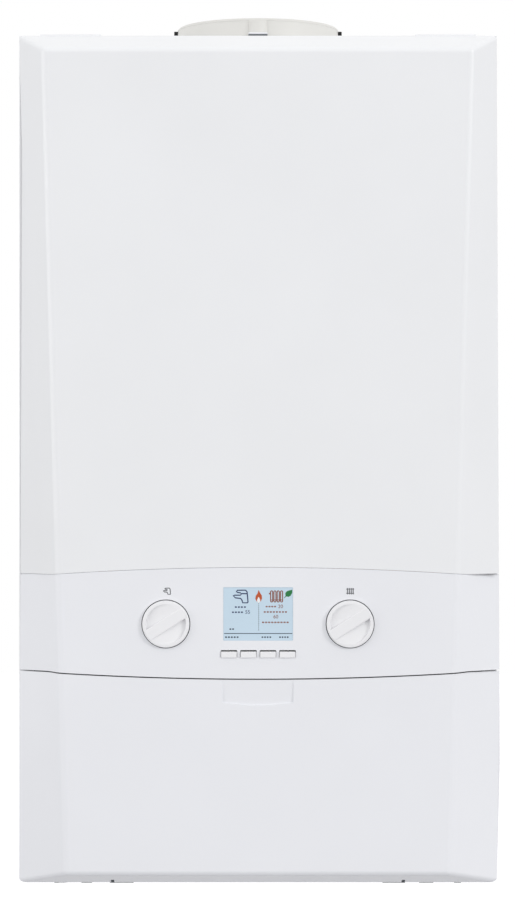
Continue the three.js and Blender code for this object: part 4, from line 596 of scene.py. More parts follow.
@dataclass
class FrontShells:
    """The cover, the control fascia and the drop-down door: one bevelled form, split twice."""

    height: float = 700.0
    rear: float = -251.0
    sky: float = 720.0
    ground: float = -20.0
    crease_top: float = 176.0
    crease_foot: float = 157.0
    bevel_top: float = 14.0
    bevel_foot: float = 10.0
    wall: float = 1.8
    crease_round: float = 3.6
    spare: float = 4.0
    rim_round: float = 0.5
    upper: Split = Split(255.0, 6.0)
    lower: Split = Split(175.5, -5.5)
    hook_x: float = 155.0
    hook_width: float = 50.0
    hook_z: Span = (DECK, 701.0)
    ledge_play: float = 0.2
    ledge_depth: float = 0.6
    ledge_share: float = 0.9985
    ledge_hold: float = 1.4
    recess_half: float = 29.0
    recess_foot: float = 151.0
    recess_top: float = 190.0
    recess_sag: float = 2.5
    recess_depth: float = 1.35
    recess_lean: float = 0.05
    rod_axis: Span = (-256.0, 8.0)
    pin_axis: Span = (-274.2, 183.8)

    def form(self, name: str) -> Object:
        """Make the whole front as one hollow shell that runs a little too far back."""
        stock = Stock()
        reach = (FRONT - self.rear - self.spare) / (FRONT - self.rear)
        for vert in bmesh.ops.create_cube(stock.bm, size=2)["verts"]:
            top, forward = vert.co.z > 0, vert.co.y < 0
            crease = self.crease_top if top else self.crease_foot
            edge = self.height - self.bevel_top if top else self.bevel_foot
            if forward:
                vert.co = (math.copysign(crease, vert.co.x), FRONT, edge)
                continue
            across = crease + (HALF_WIDTH - crease) * reach
            level = edge + ((self.height if top else 0.0) - edge) * reach
            vert.co = (math.copysign(across, vert.co.x), self.rear + self.spare, level)
        back = [face for face in stock.bm.faces if face.calc_center_median().y > self.rear]
        bmesh.ops.delete(stock.bm, geom=back, context="FACES")
        edges = [edge for edge in stock.bm.edges if min(v.co.y for v in edge.verts) < self.rear]
        stock.round_edges(edges, self.crease_round, 7)
        bmesh.ops.recalc_face_normals(stock.bm, faces=stock.bm.faces)
        shell = stock.piece(name)
        self._face_forward(shell)
        walls = shell.modifiers.new("wall", "SOLIDIFY")
        walls.thickness = self.wall * MM
        walls.offset = -1.0
        walls.use_even_offset = True
        settle(shell)
        return shell

    @staticmethod
    def _face_forward(shell: Object) -> None:
        """Turn an open shell's faces so that its front looks along -Y."""
        front = max(shell.data.polygons, key=lambda face: face.area)
        if front.normal.y > 0:
            shell.data.flip_normals()

    def band(self, low: Sequence[Span], high: Sequence[Span]) -> Object:
        """Make the tool that keeps what lies between two lines drawn across the front."""
        outline = [*low, *reversed(high)]
        return Stock().prism(outline, (FRONT - self.spare, self.rear)).piece("band")

    @staticmethod
    def _ears(x: float, axis: Span, radius: float, front: float) -> list[Object]:
        """Make two hinge eyes that stand behind a shell's face.

        Args:
            x: How far either eye is from the middle.
            axis: The hinge's y and z.
            radius: The eyes' outer radius.
            front: How far forward the eyes' feet reach.

        Returns:
            The left and the right eye.
        """
        (y, z), thick, ears = axis, 4.0, []
        for middle in (-x, x):
            eye = Stock().bar(radius, span(0, thick), (middle, y, z), Axis.X, 32)
            eye.block(span(middle, thick), (front, y), (z - radius * 0.7, z + radius), 0.2)
            ears.append(eye.piece("ear"))
        return ears

    @staticmethod
    def _slots(x: float, width: float, y: Span, z: Span) -> list[Object]:
        """Make the tools for two slots, one on either side of the middle."""
        return [Stock().block(span(middle, width), y, z).piece("slot") for middle in (-x, x)]

    def _part(self, name: str, low: Sequence[Span], high: Sequence[Span]) -> Object:
        """Keep what lies between two lines of a fresh form."""
        shell = self.form(name)
        cut(shell, [self.band(low, high)], keep=True)
        return shell

    def _hand_in(self, shell: Object, fittings: Iterable[Object], finish: Finish, body: str,
                 node: str) -> None:
        """Join a shell with its fittings, ease its rims and dress it."""
        join(shell, fittings)
        soften(shell, self.rim_round)
        dress(shell, finish, body, [node])

    def cover(self) -> None:
        """Build the front cover with the two hooks that carry it on the top panel."""
        shell = self._part("cover_shell", self.upper.line(1), across(self.sky))
        hooks = Stock()
        for side in (-1, 1):
            width = span(side * self.hook_x, self.hook_width)
            hooks.block(width, (self.rear - 1.0, self.rear), (698.6, self.hook_z[1]), 0.2)
            hooks.block(width, (self.rear - 0.9, self.rear + 15), self.hook_z, 0.25)
        self._hand_in(shell, [hooks.piece("hooks")], Finishes.ENAMEL, "front_cover", "front_cover")
        lining = Stock().block((-150, 150), (-275.9, -272.4), (285, 660), 1.2)
        dress(lining.piece("cover_lining"), Finishes.BLACK, "front_cover")

    def fascia(self, holes: Iterable[Object]) -> None:
        """Build the control fascia; the holes are the tools that cut its openings."""
        shell = self._part("fascia_shell", self.lower.line(1), self.upper.line(-1))
        cut(shell, [*holes, *self._slots(150, 3.6, (-277.2, -275.7), (170, 186.8))])
        fittings = [*self._ears(153.3, self.pin_axis, 2.6, -276.5), self._ledge()]
        self._hand_in(shell, fittings, Finishes.CASING, "control_panel", "control_fascia")

    def _ledge(self) -> Object:
        """Make the lip on the fascia's top edge that shows grey in the upper gap."""
        lip = self.form("ledge")
        inward = Matrix.Diagonal((self.ledge_share, 1, 1, 1))
        lip.data.transform(Matrix.Translation((0, self.ledge_depth * MM, 0)) @ inward)
        foot = [(x, z - self.ledge_hold) for x, z in self.upper.line(-1)]
        top = [(x, z - self.ledge_play) for x, z in self.upper.line(1)]
        cut(lip, [self.band(foot, top)], keep=True)
        return lip

    def door(self) -> None:
        """Build the lower door with its finger recess, hinge eyes and arm slots."""
        shell = self._part("door_shell", across(self.ground), self.lower.line(-1))
        cut(shell, [self._recess(), *self._slots(120, 2.8, (-260.2, -249), (-2, 12))])
        ears = self._ears(123.4, self.rod_axis, 3.6, -263.5)
        self._hand_in(shell, ears, Finishes.CASING, "lower_door", "lower_door")

    def _recess(self) -> Object:
        """Make the tool for the pocket under the door's top edge, deepest at its foot."""
        foot = bow(self.recess_half, self.recess_foot, -self.recess_sag, 12)
        top = [(self.recess_half, self.recess_top), (-self.recess_half, self.recess_top)]
        depth = (FRONT - self.spare, FRONT + self.recess_depth)
        tool = Stock().prism([*foot, *top], depth)
        lean = Matrix.Identity(4)
        lean[1][2] = -self.recess_lean
        lean[1][3] = self.recess_lean * self.recess_foot
        return tool.spin(lean).piece("recess")

    def build(self, holes: Sequence[Object]) -> None:
        """Build all three shells."""
        self.cover()
        self.fascia(holes)
        self.door()


# ---------------------------------------------------------------- controls


@dataclass
class Knob:
    """One turning knob: a disc with two scooped sides and a slanting grip between them."""

    side: str
    x: float
    z: float = 215.2
    radius: float = 19.3
    ring: float = 0.7
    stand: float = 3.2
    depth: float = 5.0
    rim: float = 2.4
    grip: float = 9.4
    grip_stand: float = 3.7
    lean: float = 33.0
    scoop: float = 1.5
    scoop_tilt: float = -6.5

    def hole(self) -> Object:
        """Return the tool that cuts the knob's opening in the fascia."""
        centre = (self.x, FRONT, self.z)
        return Stock().bar(self.radius + self.ring, (-4, 6), centre, Axis.Y, 96).piece("knob_hole")

    def _place(self, half_turn: bool = False) -> Matrix:
        """Return the turn that leans the grip, the other way up for the second scoop."""
        angle = -math.radians(self.lean + (180 if half_turn else 0))
        return Matrix.Translation((self.x, FRONT, self.z)) @ Matrix.Rotation(angle, 4, "Y")

    def _scoop(self, half_turn: bool) -> Object:
        """Make the tool for one scooped side, deepest where the light leaves it."""
        bm = bmesh.new()
        made = bmesh.ops.create_cone(
            bm, cap_ends=True, segments=96, radius1=self.radius - self.rim - 0.8,
            radius2=self.radius - self.rim, depth=12, matrix=Axis.Y.stand().inverted())
        geometry = [*bm.verts, *bm.edges, *bm.faces]
        bottom = -self.stand + self.scoop
        bmesh.ops.translate(bm, verts=made["verts"], vec=(0, bottom - 6, 0))
        sliced = bmesh.ops.bisect_plane(bm, geom=geometry, plane_co=(0, 0, self.grip / 2),
                                        plane_no=(0, 0, -1), clear_outer=True)
        rim = [item for item in sliced["geom_cut"] if isinstance(item, bmesh.types.BMEdge)]
        bmesh.ops.holes_fill(bm, edges=rim)
        tilt = Matrix.Translation((0, bottom, 0)) @ Matrix.Rotation(
            math.radians(self.scoop_tilt), 4, "Z") @ Matrix.Translation((0, -bottom, 0))
        bmesh.ops.transform(bm, verts=bm.verts, matrix=self._place(half_turn) @ tilt)
        return Stock().add(bm).piece("scoop")

    def build(self) -> None:
        """Build the knob: the scooped disc and the grip across it."""
        face, back = -self.stand, self.depth - self.stand
        centre = (self.x, FRONT, self.z)
        outer = self.radius
        profile = [(0, face), (outer - 1.0, face), (outer - 0.35, face + 0.3), (outer, face + 1.0),
                   (outer, back), (0, back)]
        body = Stock().turn(profile, centre, Axis.Y, 128).piece(f"{self.side}_knob_body")
        cut(body, [self._scoop(False), self._scoop(True)])
        grip = Stock().block(
            span(0, 2 * outer), (-self.grip_stand, 0.5), span(0, self.grip), 0.9, 3)
        grip.spin(self._place())
        bar = grip.piece("grip")
        ends = Stock().bar(outer - 1.1, (-9, 3), centre, Axis.Y, 128).piece("grip_ends")
        cut(bar, [ends], keep=True)
        join(body, [bar])
        soften(body, 0.35, 3, 30)
        dress(body, Finishes.KNOB, f"{self.side}_knob", [f"{self.side}_knob"])


@dataclass
class KeyRow:
    """The four soft keys under the display."""

    count: int = 4
    pitch: float = 15.95
    width: float = 13.1
    height: float = 6.2
    z: float = 190.7
    stand: float = 1.4

    def _places(self) -> list[float]:
        """Return the keys' middles across the boiler."""
        return [(i - (self.count - 1) / 2) * self.pitch + 0.2 for i in range(self.count)]

    def holes(self) -> list[Object]:
        """Return the tools that cut the keys' slots in the fascia."""
        return [
            Stock().block(span(x, self.width + 0.5), (FRONT - 4, FRONT + 6),
                          span(self.z, self.height), 0.8, 3).piece("key_slot")
            for x in self._places()]

    def build(self) -> None:
        """Build each key: a cushioned cap, the flange behind the slot and the stem."""
        for number, x in enumerate(self._places(), 1):
            key = Stock()
            low, high = span(self.z, self.height)
            key.block(span(x, self.width - 0.3), (FRONT - self.stand, FRONT + 2.6),
                      (low + 0.05, high - 1.15), 0.45, 3)
            key.block(span(x, self.width + 2.4), (FRONT + 2.15, FRONT + 3.0),
                      (low - 0.7, high - 1.3), 0.3)
            key.block(span(x, 3.2), (FRONT + 2.4, FRONT + 24.8), span(self.z, 3.2), 0.3)
            name = f"soft_key_{number}"
            dress(key.piece(f"{name}_cap"), Finishes.KNOB, name, [name])


class Pen:
    """Draws flat printed marks that stand a hair in front of a surface, in x and z."""

    SIZE_PER_HEIGHT = 1.38

    def __init__(self, front: float, origin: Span, thick: float = 0.08) -> None:
        """Set the surface's y, the drawing's origin and the ink's thickness."""
        self.front = front
        self.origin = origin
        self.thick = thick
        self.marks: list[Object] = []

    def fill(self, points: Sequence[Span]) -> Pen:
        """Fill an outline."""
        shape = [(self.origin[0] + x, self.origin[1] + z) for x, z in points]
        mark = Stock().prism(shape, (self.front - self.thick, self.front))
        self.marks.append(mark.piece("mark"))
        return self

    def line(self, points: Sequence[Span], width: float, closed: bool = False) -> Pen:
        """Draw a line of some width through points, with round joins."""
        curve = bpy.data.curves.new("line", "CURVE")
        curve.dimensions = "3D"
        curve.bevel_depth = width / 2
        curve.bevel_resolution = 2
        curve.use_fill_caps = True
        spline = curve.splines.new("POLY")
        spline.points.add(len(points) - 1)
        for point, (x, z) in zip(spline.points, points):
            point.co = (self.origin[0] + x, 0, self.origin[1] + z, 1)
        spline.use_cyclic_u = closed
        return self._press(curve, width)

    def digits(self, text: str, height: float, middle: Span) -> Pen:
        """Write plain numbers about a middle."""
        font = bpy.data.curves.new("digits", "FONT")
        font.body = text
        font.size = height * self.SIZE_PER_HEIGHT
        font.extrude = 0.1
        font.align_x = "CENTER"
        font.align_y = "CENTER"
        stand = Matrix.Translation((self.origin[0] + middle[0], 0, self.origin[1] + middle[1]))
        return self._press(font, 0.2, stand @ Matrix.Rotation(math.pi / 2, 4, "X"))

    def _press(self, curve: bpy.types.Curve, thick: float, place: Matrix | None = None) -> Pen:
        """Turn a curve into flat ink on the surface."""
        thing = placed("ink", curve)
        mesh = final_mesh(thing)
        bpy.data.objects.remove(thing)
        flat = Matrix.Translation((0, self.front - self.thick / 2, 0)) @ Matrix.Diagonal(
            (1, self.thick / thick, 1, 1))
        mesh.transform(TO_PART @ flat @ (place or Matrix.Identity(4)))
        self.marks.append(placed("ink", mesh))
        return self

    def piece(self, name: str, finish: Finish) -> None:
        """Gather the marks into one printed piece on the control panel."""
        first, *rest = self.marks
        join(first, rest)
        first.name = name
        dress(first, finish, "control_panel")


@dataclass
class Pictogram:
    """The outlines of the small signs, in a square about one unit high."""

    tap_body: tuple[Span, ...] = (
        (-0.276, 0.334), (-0.207, 0.41), (0.328, 0.42), (0.438, 0.31), (0.459, 0.076),
        (0.5, -0.372), (0.459, -0.428), (0.145, -0.428), (0.093, -0.252), (0.017, -0.138),
        (-0.172, -0.114), (-0.345, -0.097), (-0.493, 0.048), (-0.397, 0.083), (-0.017, 0.083),
        (0.079, 0.172), (-0.017, 0.241), (-0.207, 0.266))
    tap_seam: tuple[Span, ...] = ((0.093, 0.186), (0.438, 0.186))
    flame_body: tuple[Span, ...] = (
        (0.0, 0.5), (0.1, 0.28), (0.25, 0.04), (0.27, -0.2), (0.17, -0.42), (0.0, -0.5),
        (-0.17, -0.42), (-0.27, -0.2), (-0.23, 0.02), (-0.09, 0.22))
    flame_core: tuple[Span, ...] = (
        (0.0, 0.08), (0.11, -0.12), (0.14, -0.28), (0.0, -0.44), (-0.14, -0.28), (-0.11, -0.12))
    leaf_body: tuple[Span, ...] = (
        (0.5, 0.5), (0.48, 0.1), (0.3, -0.26), (0.0, -0.42), (-0.26, -0.36), (-0.5, -0.5),
        (-0.36, -0.26), (-0.4, 0.04), (-0.2, 0.3), (0.12, 0.42))

    @staticmethod
    def sized(points: Sequence[Span], size: float, middle: Span) -> list[Span]:
        """Scale an outline and move it to a middle."""
        return [(middle[0] + x * size, middle[1] + z * size) for x, z in points]


@dataclass
class Display:
    """The lit screen in the fascia with its pictograms, figures and rules."""

    width: float = 57.0
    height: float = 43.6
    z: float = 223.4
    x: float = 0.15
    front: float = -277.55
    dash_pitch: float = 2.4
    dash_share: float = 0.62
    dash_width: float = 1.15
    signs: Pictogram = field(default_factory=Pictogram)

    def hole(self) -> Object:
        """Return the tool that cuts the window in the fascia."""
        return Stock().block(span(self.x, self.width), (-284, -268), span(self.z, self.height),
                             0.5).piece("window")

    def build(self) -> None:
        """Build the screen, the module behind it and what it shows."""
        glass = Stock().block(span(self.x, self.width - 0.1), (self.front, -276.3),
                              span(self.z, self.height - 0.1), 0.1)
        dress(glass.piece("lit_screen"), Finishes.SCREEN, "control_panel", ["display_lens"])
        module = Stock().block(span(0, 60), (-275.9, -266.9), span(self.z, 47), 0.6)
        module.block(span(0, 40), (-266.9, -265.8), span(self.z, 8), 0.4)
        dress(module.piece("display_block"), Finishes.BLACK, "control_panel",
              ["display_module"])
        self._left_half()
        self._right_half()
        self._rules()

    def _pen(self) -> Pen:
        """Return a pen on the screen."""
        return Pen(self.front, (self.x, self.z))

    def _left_half(self) -> None:
        """Show the tap, the water's figure and plain marks for its words."""
        pen = self._pen()
        for shape, closed in ((self.signs.tap_body, True), (self.signs.tap_seam, False)):
            pen.line(self.signs.sized(shape, 12.2, (-14.4, 14.3)), 0.95, closed=closed)
        pen.digits("55", 3.0, (-8.6, 1.4))
        self._bars(pen, [(-19.0, -9.2, 5.6), (-21.4, -11.6, 1.4)])
        pen.piece("tap_sign", Finishes.NAVY)

    def _right_half(self) -> None:
        """Show the flame, the radiator, the leaf and the heating's figures."""
        flame = self.signs.sized(self.signs.flame_body, 10.2, (0.4, 14.6))
        core = self.signs.sized(self.signs.flame_core, 10.0, (0.4, 13.2))
        self._pen().fill(flame).piece("flame_sign", Finishes.FLAME)
        Pen(self.front - 0.08, (self.x, self.z)).fill(core).piece("flame_core", Finishes.PALE)
        pen = self._pen()
        for column in range(4):
            x = 11.0 + column * 2.7
            ring = [(x + dx, 14.3 + dz) for dx, dz in (
                (-0.85, 3.8), (-0.45, 4.5), (0.45, 4.5), (0.85, 3.8),
                (0.85, -3.8), (0.45, -4.5), (-0.45, -4.5), (-0.85, -3.8))]
            pen.line(ring, 0.85, closed=True)
        pen.line([(8.8, 16.6), (10.2, 16.6)], 1.2).line([(10.2, 11.4), (19.9, 11.4)], 0.6)
        pen.digits("20", 3.0, (18.3, 6.0)).digits("60", 3.0, (14.4, -2.4))
        self._bars(pen, [(6.2, 15.4, 6.0), (4.6, 24.4, 1.6), (3.2, 25.8, -6.9)])
        pen.piece("radiator_sign", Finishes.RUST)
        leaf = self.signs.sized(self.signs.leaf_body, 6.4, (24.7, 16.6))
        self._pen().fill(leaf).line([(21.2, 12.9), (23.0, 15.0)], 0.5).piece(
            "leaf_sign", Finishes.LEAF)

    def _rules(self) -> None:
        """Show the dotted rule, the foot rule and the plain marks over the keys."""
        pen = self._pen()
        half = self.width / 2 - 0.6
        pen.line([(-half, -16.0), (half, -16.0)], 0.6)
        for dot in range(14):
            top = 9.2 - dot * 1.68
            pen.line([(0.4, top), (0.4, top - 0.8)], 0.5)
        self._bars(pen, [(-27.0, -15.2, -19.0), (2.8, 11.4, -19.0), (17.2, 25.6, -19.0),
                         (-23.4, -19.0, -12.4)])
        pen.piece("screen_rules", Finishes.SLATE)

    def _bars(self, pen: Pen, rows: Sequence[tuple[float, float, float]]) -> None:
        """Draw plain dashed bars where a real screen has its words."""
        for left, right, z in rows:
            count = max(2, round((right - left) / self.dash_pitch))
            pitch = (right - left) / count
            for i in range(count):
                start = left + i * pitch
                pen.line([(start, z), (start + pitch * self.dash_share, z)], self.dash_width)


@dataclass
class ControlPanel:
    """Knobs, keys, display, the signs above the knobs and the screws of the box behind."""

    knob_x: float = 75.3
    sign_z: float = 242.0
    sign_size: float = 6.0
    lid_y: float = -222.0

    def __post_init__(self) -> None:
        """Lay out the parts."""
        self.knobs = [Knob("left", -self.knob_x), Knob("right", self.knob_x)]
        self.keys = KeyRow()
        self.display = Display()

    def holes(self) -> list[Object]:
        """Return every tool that cuts an opening in the fascia."""
        return [*(knob.hole() for knob in self.knobs), *self.keys.holes(), self.display.hole()]

    def build(self) -> None:
        """Build everything on the panel."""
        for knob in self.knobs:
            knob.build()
        self.keys.build()
        self.display.build()
        self._signs()
        self._box_screws()

    def _signs(self) -> None:
        """Print a tap over the left knob and a radiator over the right one."""
        signs = Pictogram()
        tap = signs.sized(signs.tap_body, self.sign_size, (-self.knob_x + 0.8, self.sign_z))
        pen = Pen(FRONT, (0, 0), 0.05).line(tap, 0.75, closed=True)
        for column in range(4):
            x = self.knob_x - 2.2 + column * 1.55
            pen.line([(x, self.sign_z - 2.6), (x, self.sign_z + 2.6)], 0.85)
        for level in (-1.7, 1.7):
            ends = (self.knob_x - 3.2, self.knob_x + 3.3)
            pen.line([(ends[0], self.sign_z + level), (ends[1], self.sign_z + level)], 0.55)
        pen.piece("fascia_signs", Finishes.GREY_INK)

    def _box_screws(self) -> None:
        """Fix the control box's lid with eight screws."""
        screws = Stock()
        for x in (-122, -60, 60, 122):
            for z in (190, 229):
                screws.bar(2.6, (0, 1.4), (x, self.lid_y, z), Axis.Y, 20)
        dress(screws.piece("box_screws"), Finishes.STEEL, "control_panel")


# ---------------------------------------------------------------- flue


@dataclass
class FlueTerminal:
    """The round flue collar on top with its seal, inner duct, rib and sampling cap."""

    y: float = -139.0
    foot: float = 702.1
    top: float = 721.2
    radius: float = 69.1
    rim: float = 69.4
    bore: float = 50.0
    rib_radius: float = 8.6
    duct_radius: float = 30.0
    duct_wall: float = 1.6
    steps: int = 144

    def build(self) -> None:
        """Build the flue's pieces."""
        self._collar()
        self._seal()
        self._duct()
        self._cap()

    def _collar(self) -> None:
        """Build the collar: wall, rolled rim, front rib, plinth and the painted shadow under it.
        """
        r, rim, top = self.radius, self.rim, self.top
        profile = [
            (self.bore, self.foot), (r, self.foot), (r, top - 2.4), (r + 0.3, top - 2.1),
            (rim, top - 1.8), (rim, top - 1.2), (rim - 1.2, top), (self.bore + 3, top),
            (self.bore + 1, top - 0.5), (self.bore, top - 2)]
        collar = Stock().turn(profile, (0, self.y, 0), Axis.Z, self.steps)
        front = self.y - self.radius
        rib = (self.foot + 4.2, top - 1.9)
        collar.bar(self.rib_radius, rib, (0, front + 4.4, 0), Axis.Z, 48, 0.6)
        piece = collar.piece("collar")
        dress(piece, Finishes.FLUE, "chassis", ["flue_collar"])
        plinth = Stock().block((-8, 8), (front - 4.4, front + 4), (707.2, 708.5), 0.3)
        dress(plinth.piece("collar_plinth"), Finishes.CASING)
        # Grey band under the plinth: painted shadow under the rib's overhang, not a slot.
        shadow = Stock().block((-8, 8), (front - 4.3, front + 4), (706.0, 707.2), 0.2)
        dress(shadow.piece("collar_painted_shadow"), Finishes.GREY)

    def _seal(self) -> None:
        """Build the rubber seal under the collar with its two lugs."""
        inner, outer, top = self.bore + 0.5, 69.0, DECK + 1.5
        ring = [(inner, DECK), (outer, DECK), (outer, top), (inner, top)]
        seal = Stock().turn(ring, (0, self.y, 0), Axis.Z, self.steps)
        for side in (-1, 1):
            seal.block(span(side * 70.9, 3.2), span(self.y, 6), (DECK, 719.4), 0.3)
        dress(seal.piece("seal"), Finishes.RUBBER, "chassis", ["flue_seal"])

    def _duct(self) -> None:
        """Build the inner duct with a rolled lip and the lip seal in its mouth."""
        outer, inner = self.duct_radius, self.duct_radius - self.duct_wall
        top = self.top - 7
        profile = [(inner, 578.3), (outer, 578.3), (outer, top - 1), (outer - 0.5, top),
                   (inner + 0.5, top), (inner, top - 0.6)]
        duct = Stock().turn(profile, (0, self.y, 0), Axis.Z, 96)
        dress(duct.piece("duct"), Finishes.FLUE, "chassis", ["flue_duct"])
        lip = [(inner - 1.4, top - 10), (inner - 0.1, top - 11), (inner - 0.1, top - 7),
               (inner - 1.4, top - 8)]
        ring = Stock().turn(lip, (0, self.y, 0), Axis.Z, 96)
        dress(ring.piece("duct_lip_seal"), Finishes.RUBBER)

    def _cap(self) -> None:
        """Build the ribbed cap that closes the sampling point."""
        x, y = circle(60, 6, (0, self.y), 1)[0]
        low, high = self.cap_span()
        cap = Stock().turn(
            [(0, low), (4.4, low), (4.4, self.top + 0.3), (6.6, self.top + 0.3),
             (7, self.top + 0.8), (7, high - 0.8), (6.2, high), (2.4, high), (2.0, high - 0.8),
             (0, high - 0.8)],
            (x, y, 0), Axis.Z, 48)
        for place in circle(7, 12, (x, y)):
            cap.bar(0.55, (self.top + 0.8, high - 0.8), (*place, 0), Axis.Z, 8, 0.15)
        dress(cap.piece("sampling_plug"), Finishes.RUBBER, "chassis", ["sampling_cap"])

    def cap_span(self) -> Span:
        """Return the sampling cap's lowest and highest level, from its CAD node."""
        low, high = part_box("sampling_cap")
        return (low.z / MM + HANG_Z, high.z / MM + HANG_Z)


# ---------------------------------------------------------------- casing and works


@dataclass(frozen=True)
class Trim:
    """How carried-over CAD pieces are dressed; their names have spaces between."""

    nodes: str
    finish: Finish
    ease: float = 0.0
    body: str = "chassis"
    turned: bool = False


class Works:
    """The casing's sheets and the working parts, taken from the CAD with eased edges."""

    MERGE = 1e-6
    COPLANAR = math.radians(0.4)
    EASED_FROM = 48.0
    TRIMS: tuple[Trim, ...] = (
        Trim("left_side_panel right_side_panel top_panel", Finishes.ENAMEL, 0.5),
        Trim("back_panel", Finishes.ZINC, 0.4),
        Trim("bottom_tray", Finishes.ZINC, 0.3),
        Trim("wall_bracket", Finishes.ZINC, 0.4),
        Trim("pod_rail", Finishes.ZINC, 0.2),
        Trim("door_hinge_rod left_panel_pin right_panel_pin", Finishes.STEEL),
        Trim("control_box", Finishes.GREY, 0.4, "control_panel"),
        Trim("control_box_cover", Finishes.GREY, 0.5, "control_panel"),
        Trim("control_circuit_board", Finishes.BOARD, body="control_panel"),
        Trim("left_knob_spindle", Finishes.STEEL, body="left_knob"),
        Trim("right_knob_spindle", Finishes.STEEL, body="right_knob"),
        Trim("heat_exchanger", Finishes.CAST, turned=True),
        Trim("burner", Finishes.STEEL, turned=True),
        Trim("burner_door", Finishes.CAST, turned=True),
        Trim("ignition_electrode flame_electrode", Finishes.CERAMIC, turned=True),
        Trim("condensate_sump", Finishes.BLACK, turned=True),
        Trim("condensate_pipe condensate_trap", Finishes.GREY, turned=True),
        Trim("fan_housing", Finishes.BLACK, turned=True),
        Trim("fan_impeller", Finishes.GREY, body="fan_impeller"),
        Trim("fan_motor", Finishes.BLACK, turned=True),
        Trim("venturi mixture_duct", Finishes.CAST, turned=True),
        Trim("gas_valve", Finishes.CAST, 1.2),
        Trim("gas_pipe gas_supply_pipe", Finishes.COPPER, turned=True),
        Trim("expansion_vessel", Finishes.RED, 0.4),
        Trim("expansion_hose", Finishes.STEEL, turned=True),
        Trim("return_manifold flow_manifold", Finishes.GREY, 1.2),
        Trim("plate_heat_exchanger", Finishes.STEEL, 0.5),
        Trim("pump_body", Finishes.GREY, turned=True),
        Trim("pump_motor", Finishes.BLACK, turned=True),
        Trim("pump_impeller", Finishes.GREY, body="pump_impeller"),
        Trim("return_pipe flow_pipe", Finishes.COPPER, turned=True),
        Trim("diverter_actuator", Finishes.BLACK, 1.5),
        Trim("relief_valve auto_air_vent", Finishes.BRASS, turned=True),
    )

    def __init__(self, nodes: dict[str, Object]) -> None:
        """Keep the frame's CAD nodes at hand."""
        self.nodes = nodes

    def build(self) -> None:
        """Dress every piece in the list."""
        for trim in self.TRIMS:
            for node in trim.nodes.split():
                self._eased_copy(node, trim)

    def _eased_copy(self, node: str, trim: Trim) -> None:
        """Copy a CAD node, merge its loose triangles and ease its edges as the trim says."""
        bm = bmesh.new()
        bm.from_mesh(self.nodes[node].data)
        bmesh.ops.remove_doubles(bm, verts=bm.verts, dist=self.MERGE)
        bmesh.ops.dissolve_limit(bm, angle_limit=self.COPLANAR, verts=bm.verts, edges=bm.edges)
        if trim.turned:
            bmesh.ops.connect_verts_concave(bm, faces=bm.faces)
            self._mark_edges(bm)
        piece = placed(f"{node}_dressed", mesh_of(bm, node))
        if trim.turned:
            rounding = piece.modifiers.new("round facets", "SUBSURF")
            rounding.levels = rounding.render_levels = 2
        elif trim.ease:
            soften(piece, trim.ease, 2, self.EASED_FROM)
        dress(piece, trim.finish, trim.body, [node])

    @staticmethod
    def _mark_edges(bm: bmesh.types.BMesh) -> None:
        """Crease the real edges of a turned or bent piece, so that only its facets round off."""
        crease = bm.edges.layers.float.new("crease_edge")
        for edge in bm.edges:
            if edge.is_manifold and edge.calc_face_angle() > EDGE_ANGLE:
                edge[crease] = 1.0


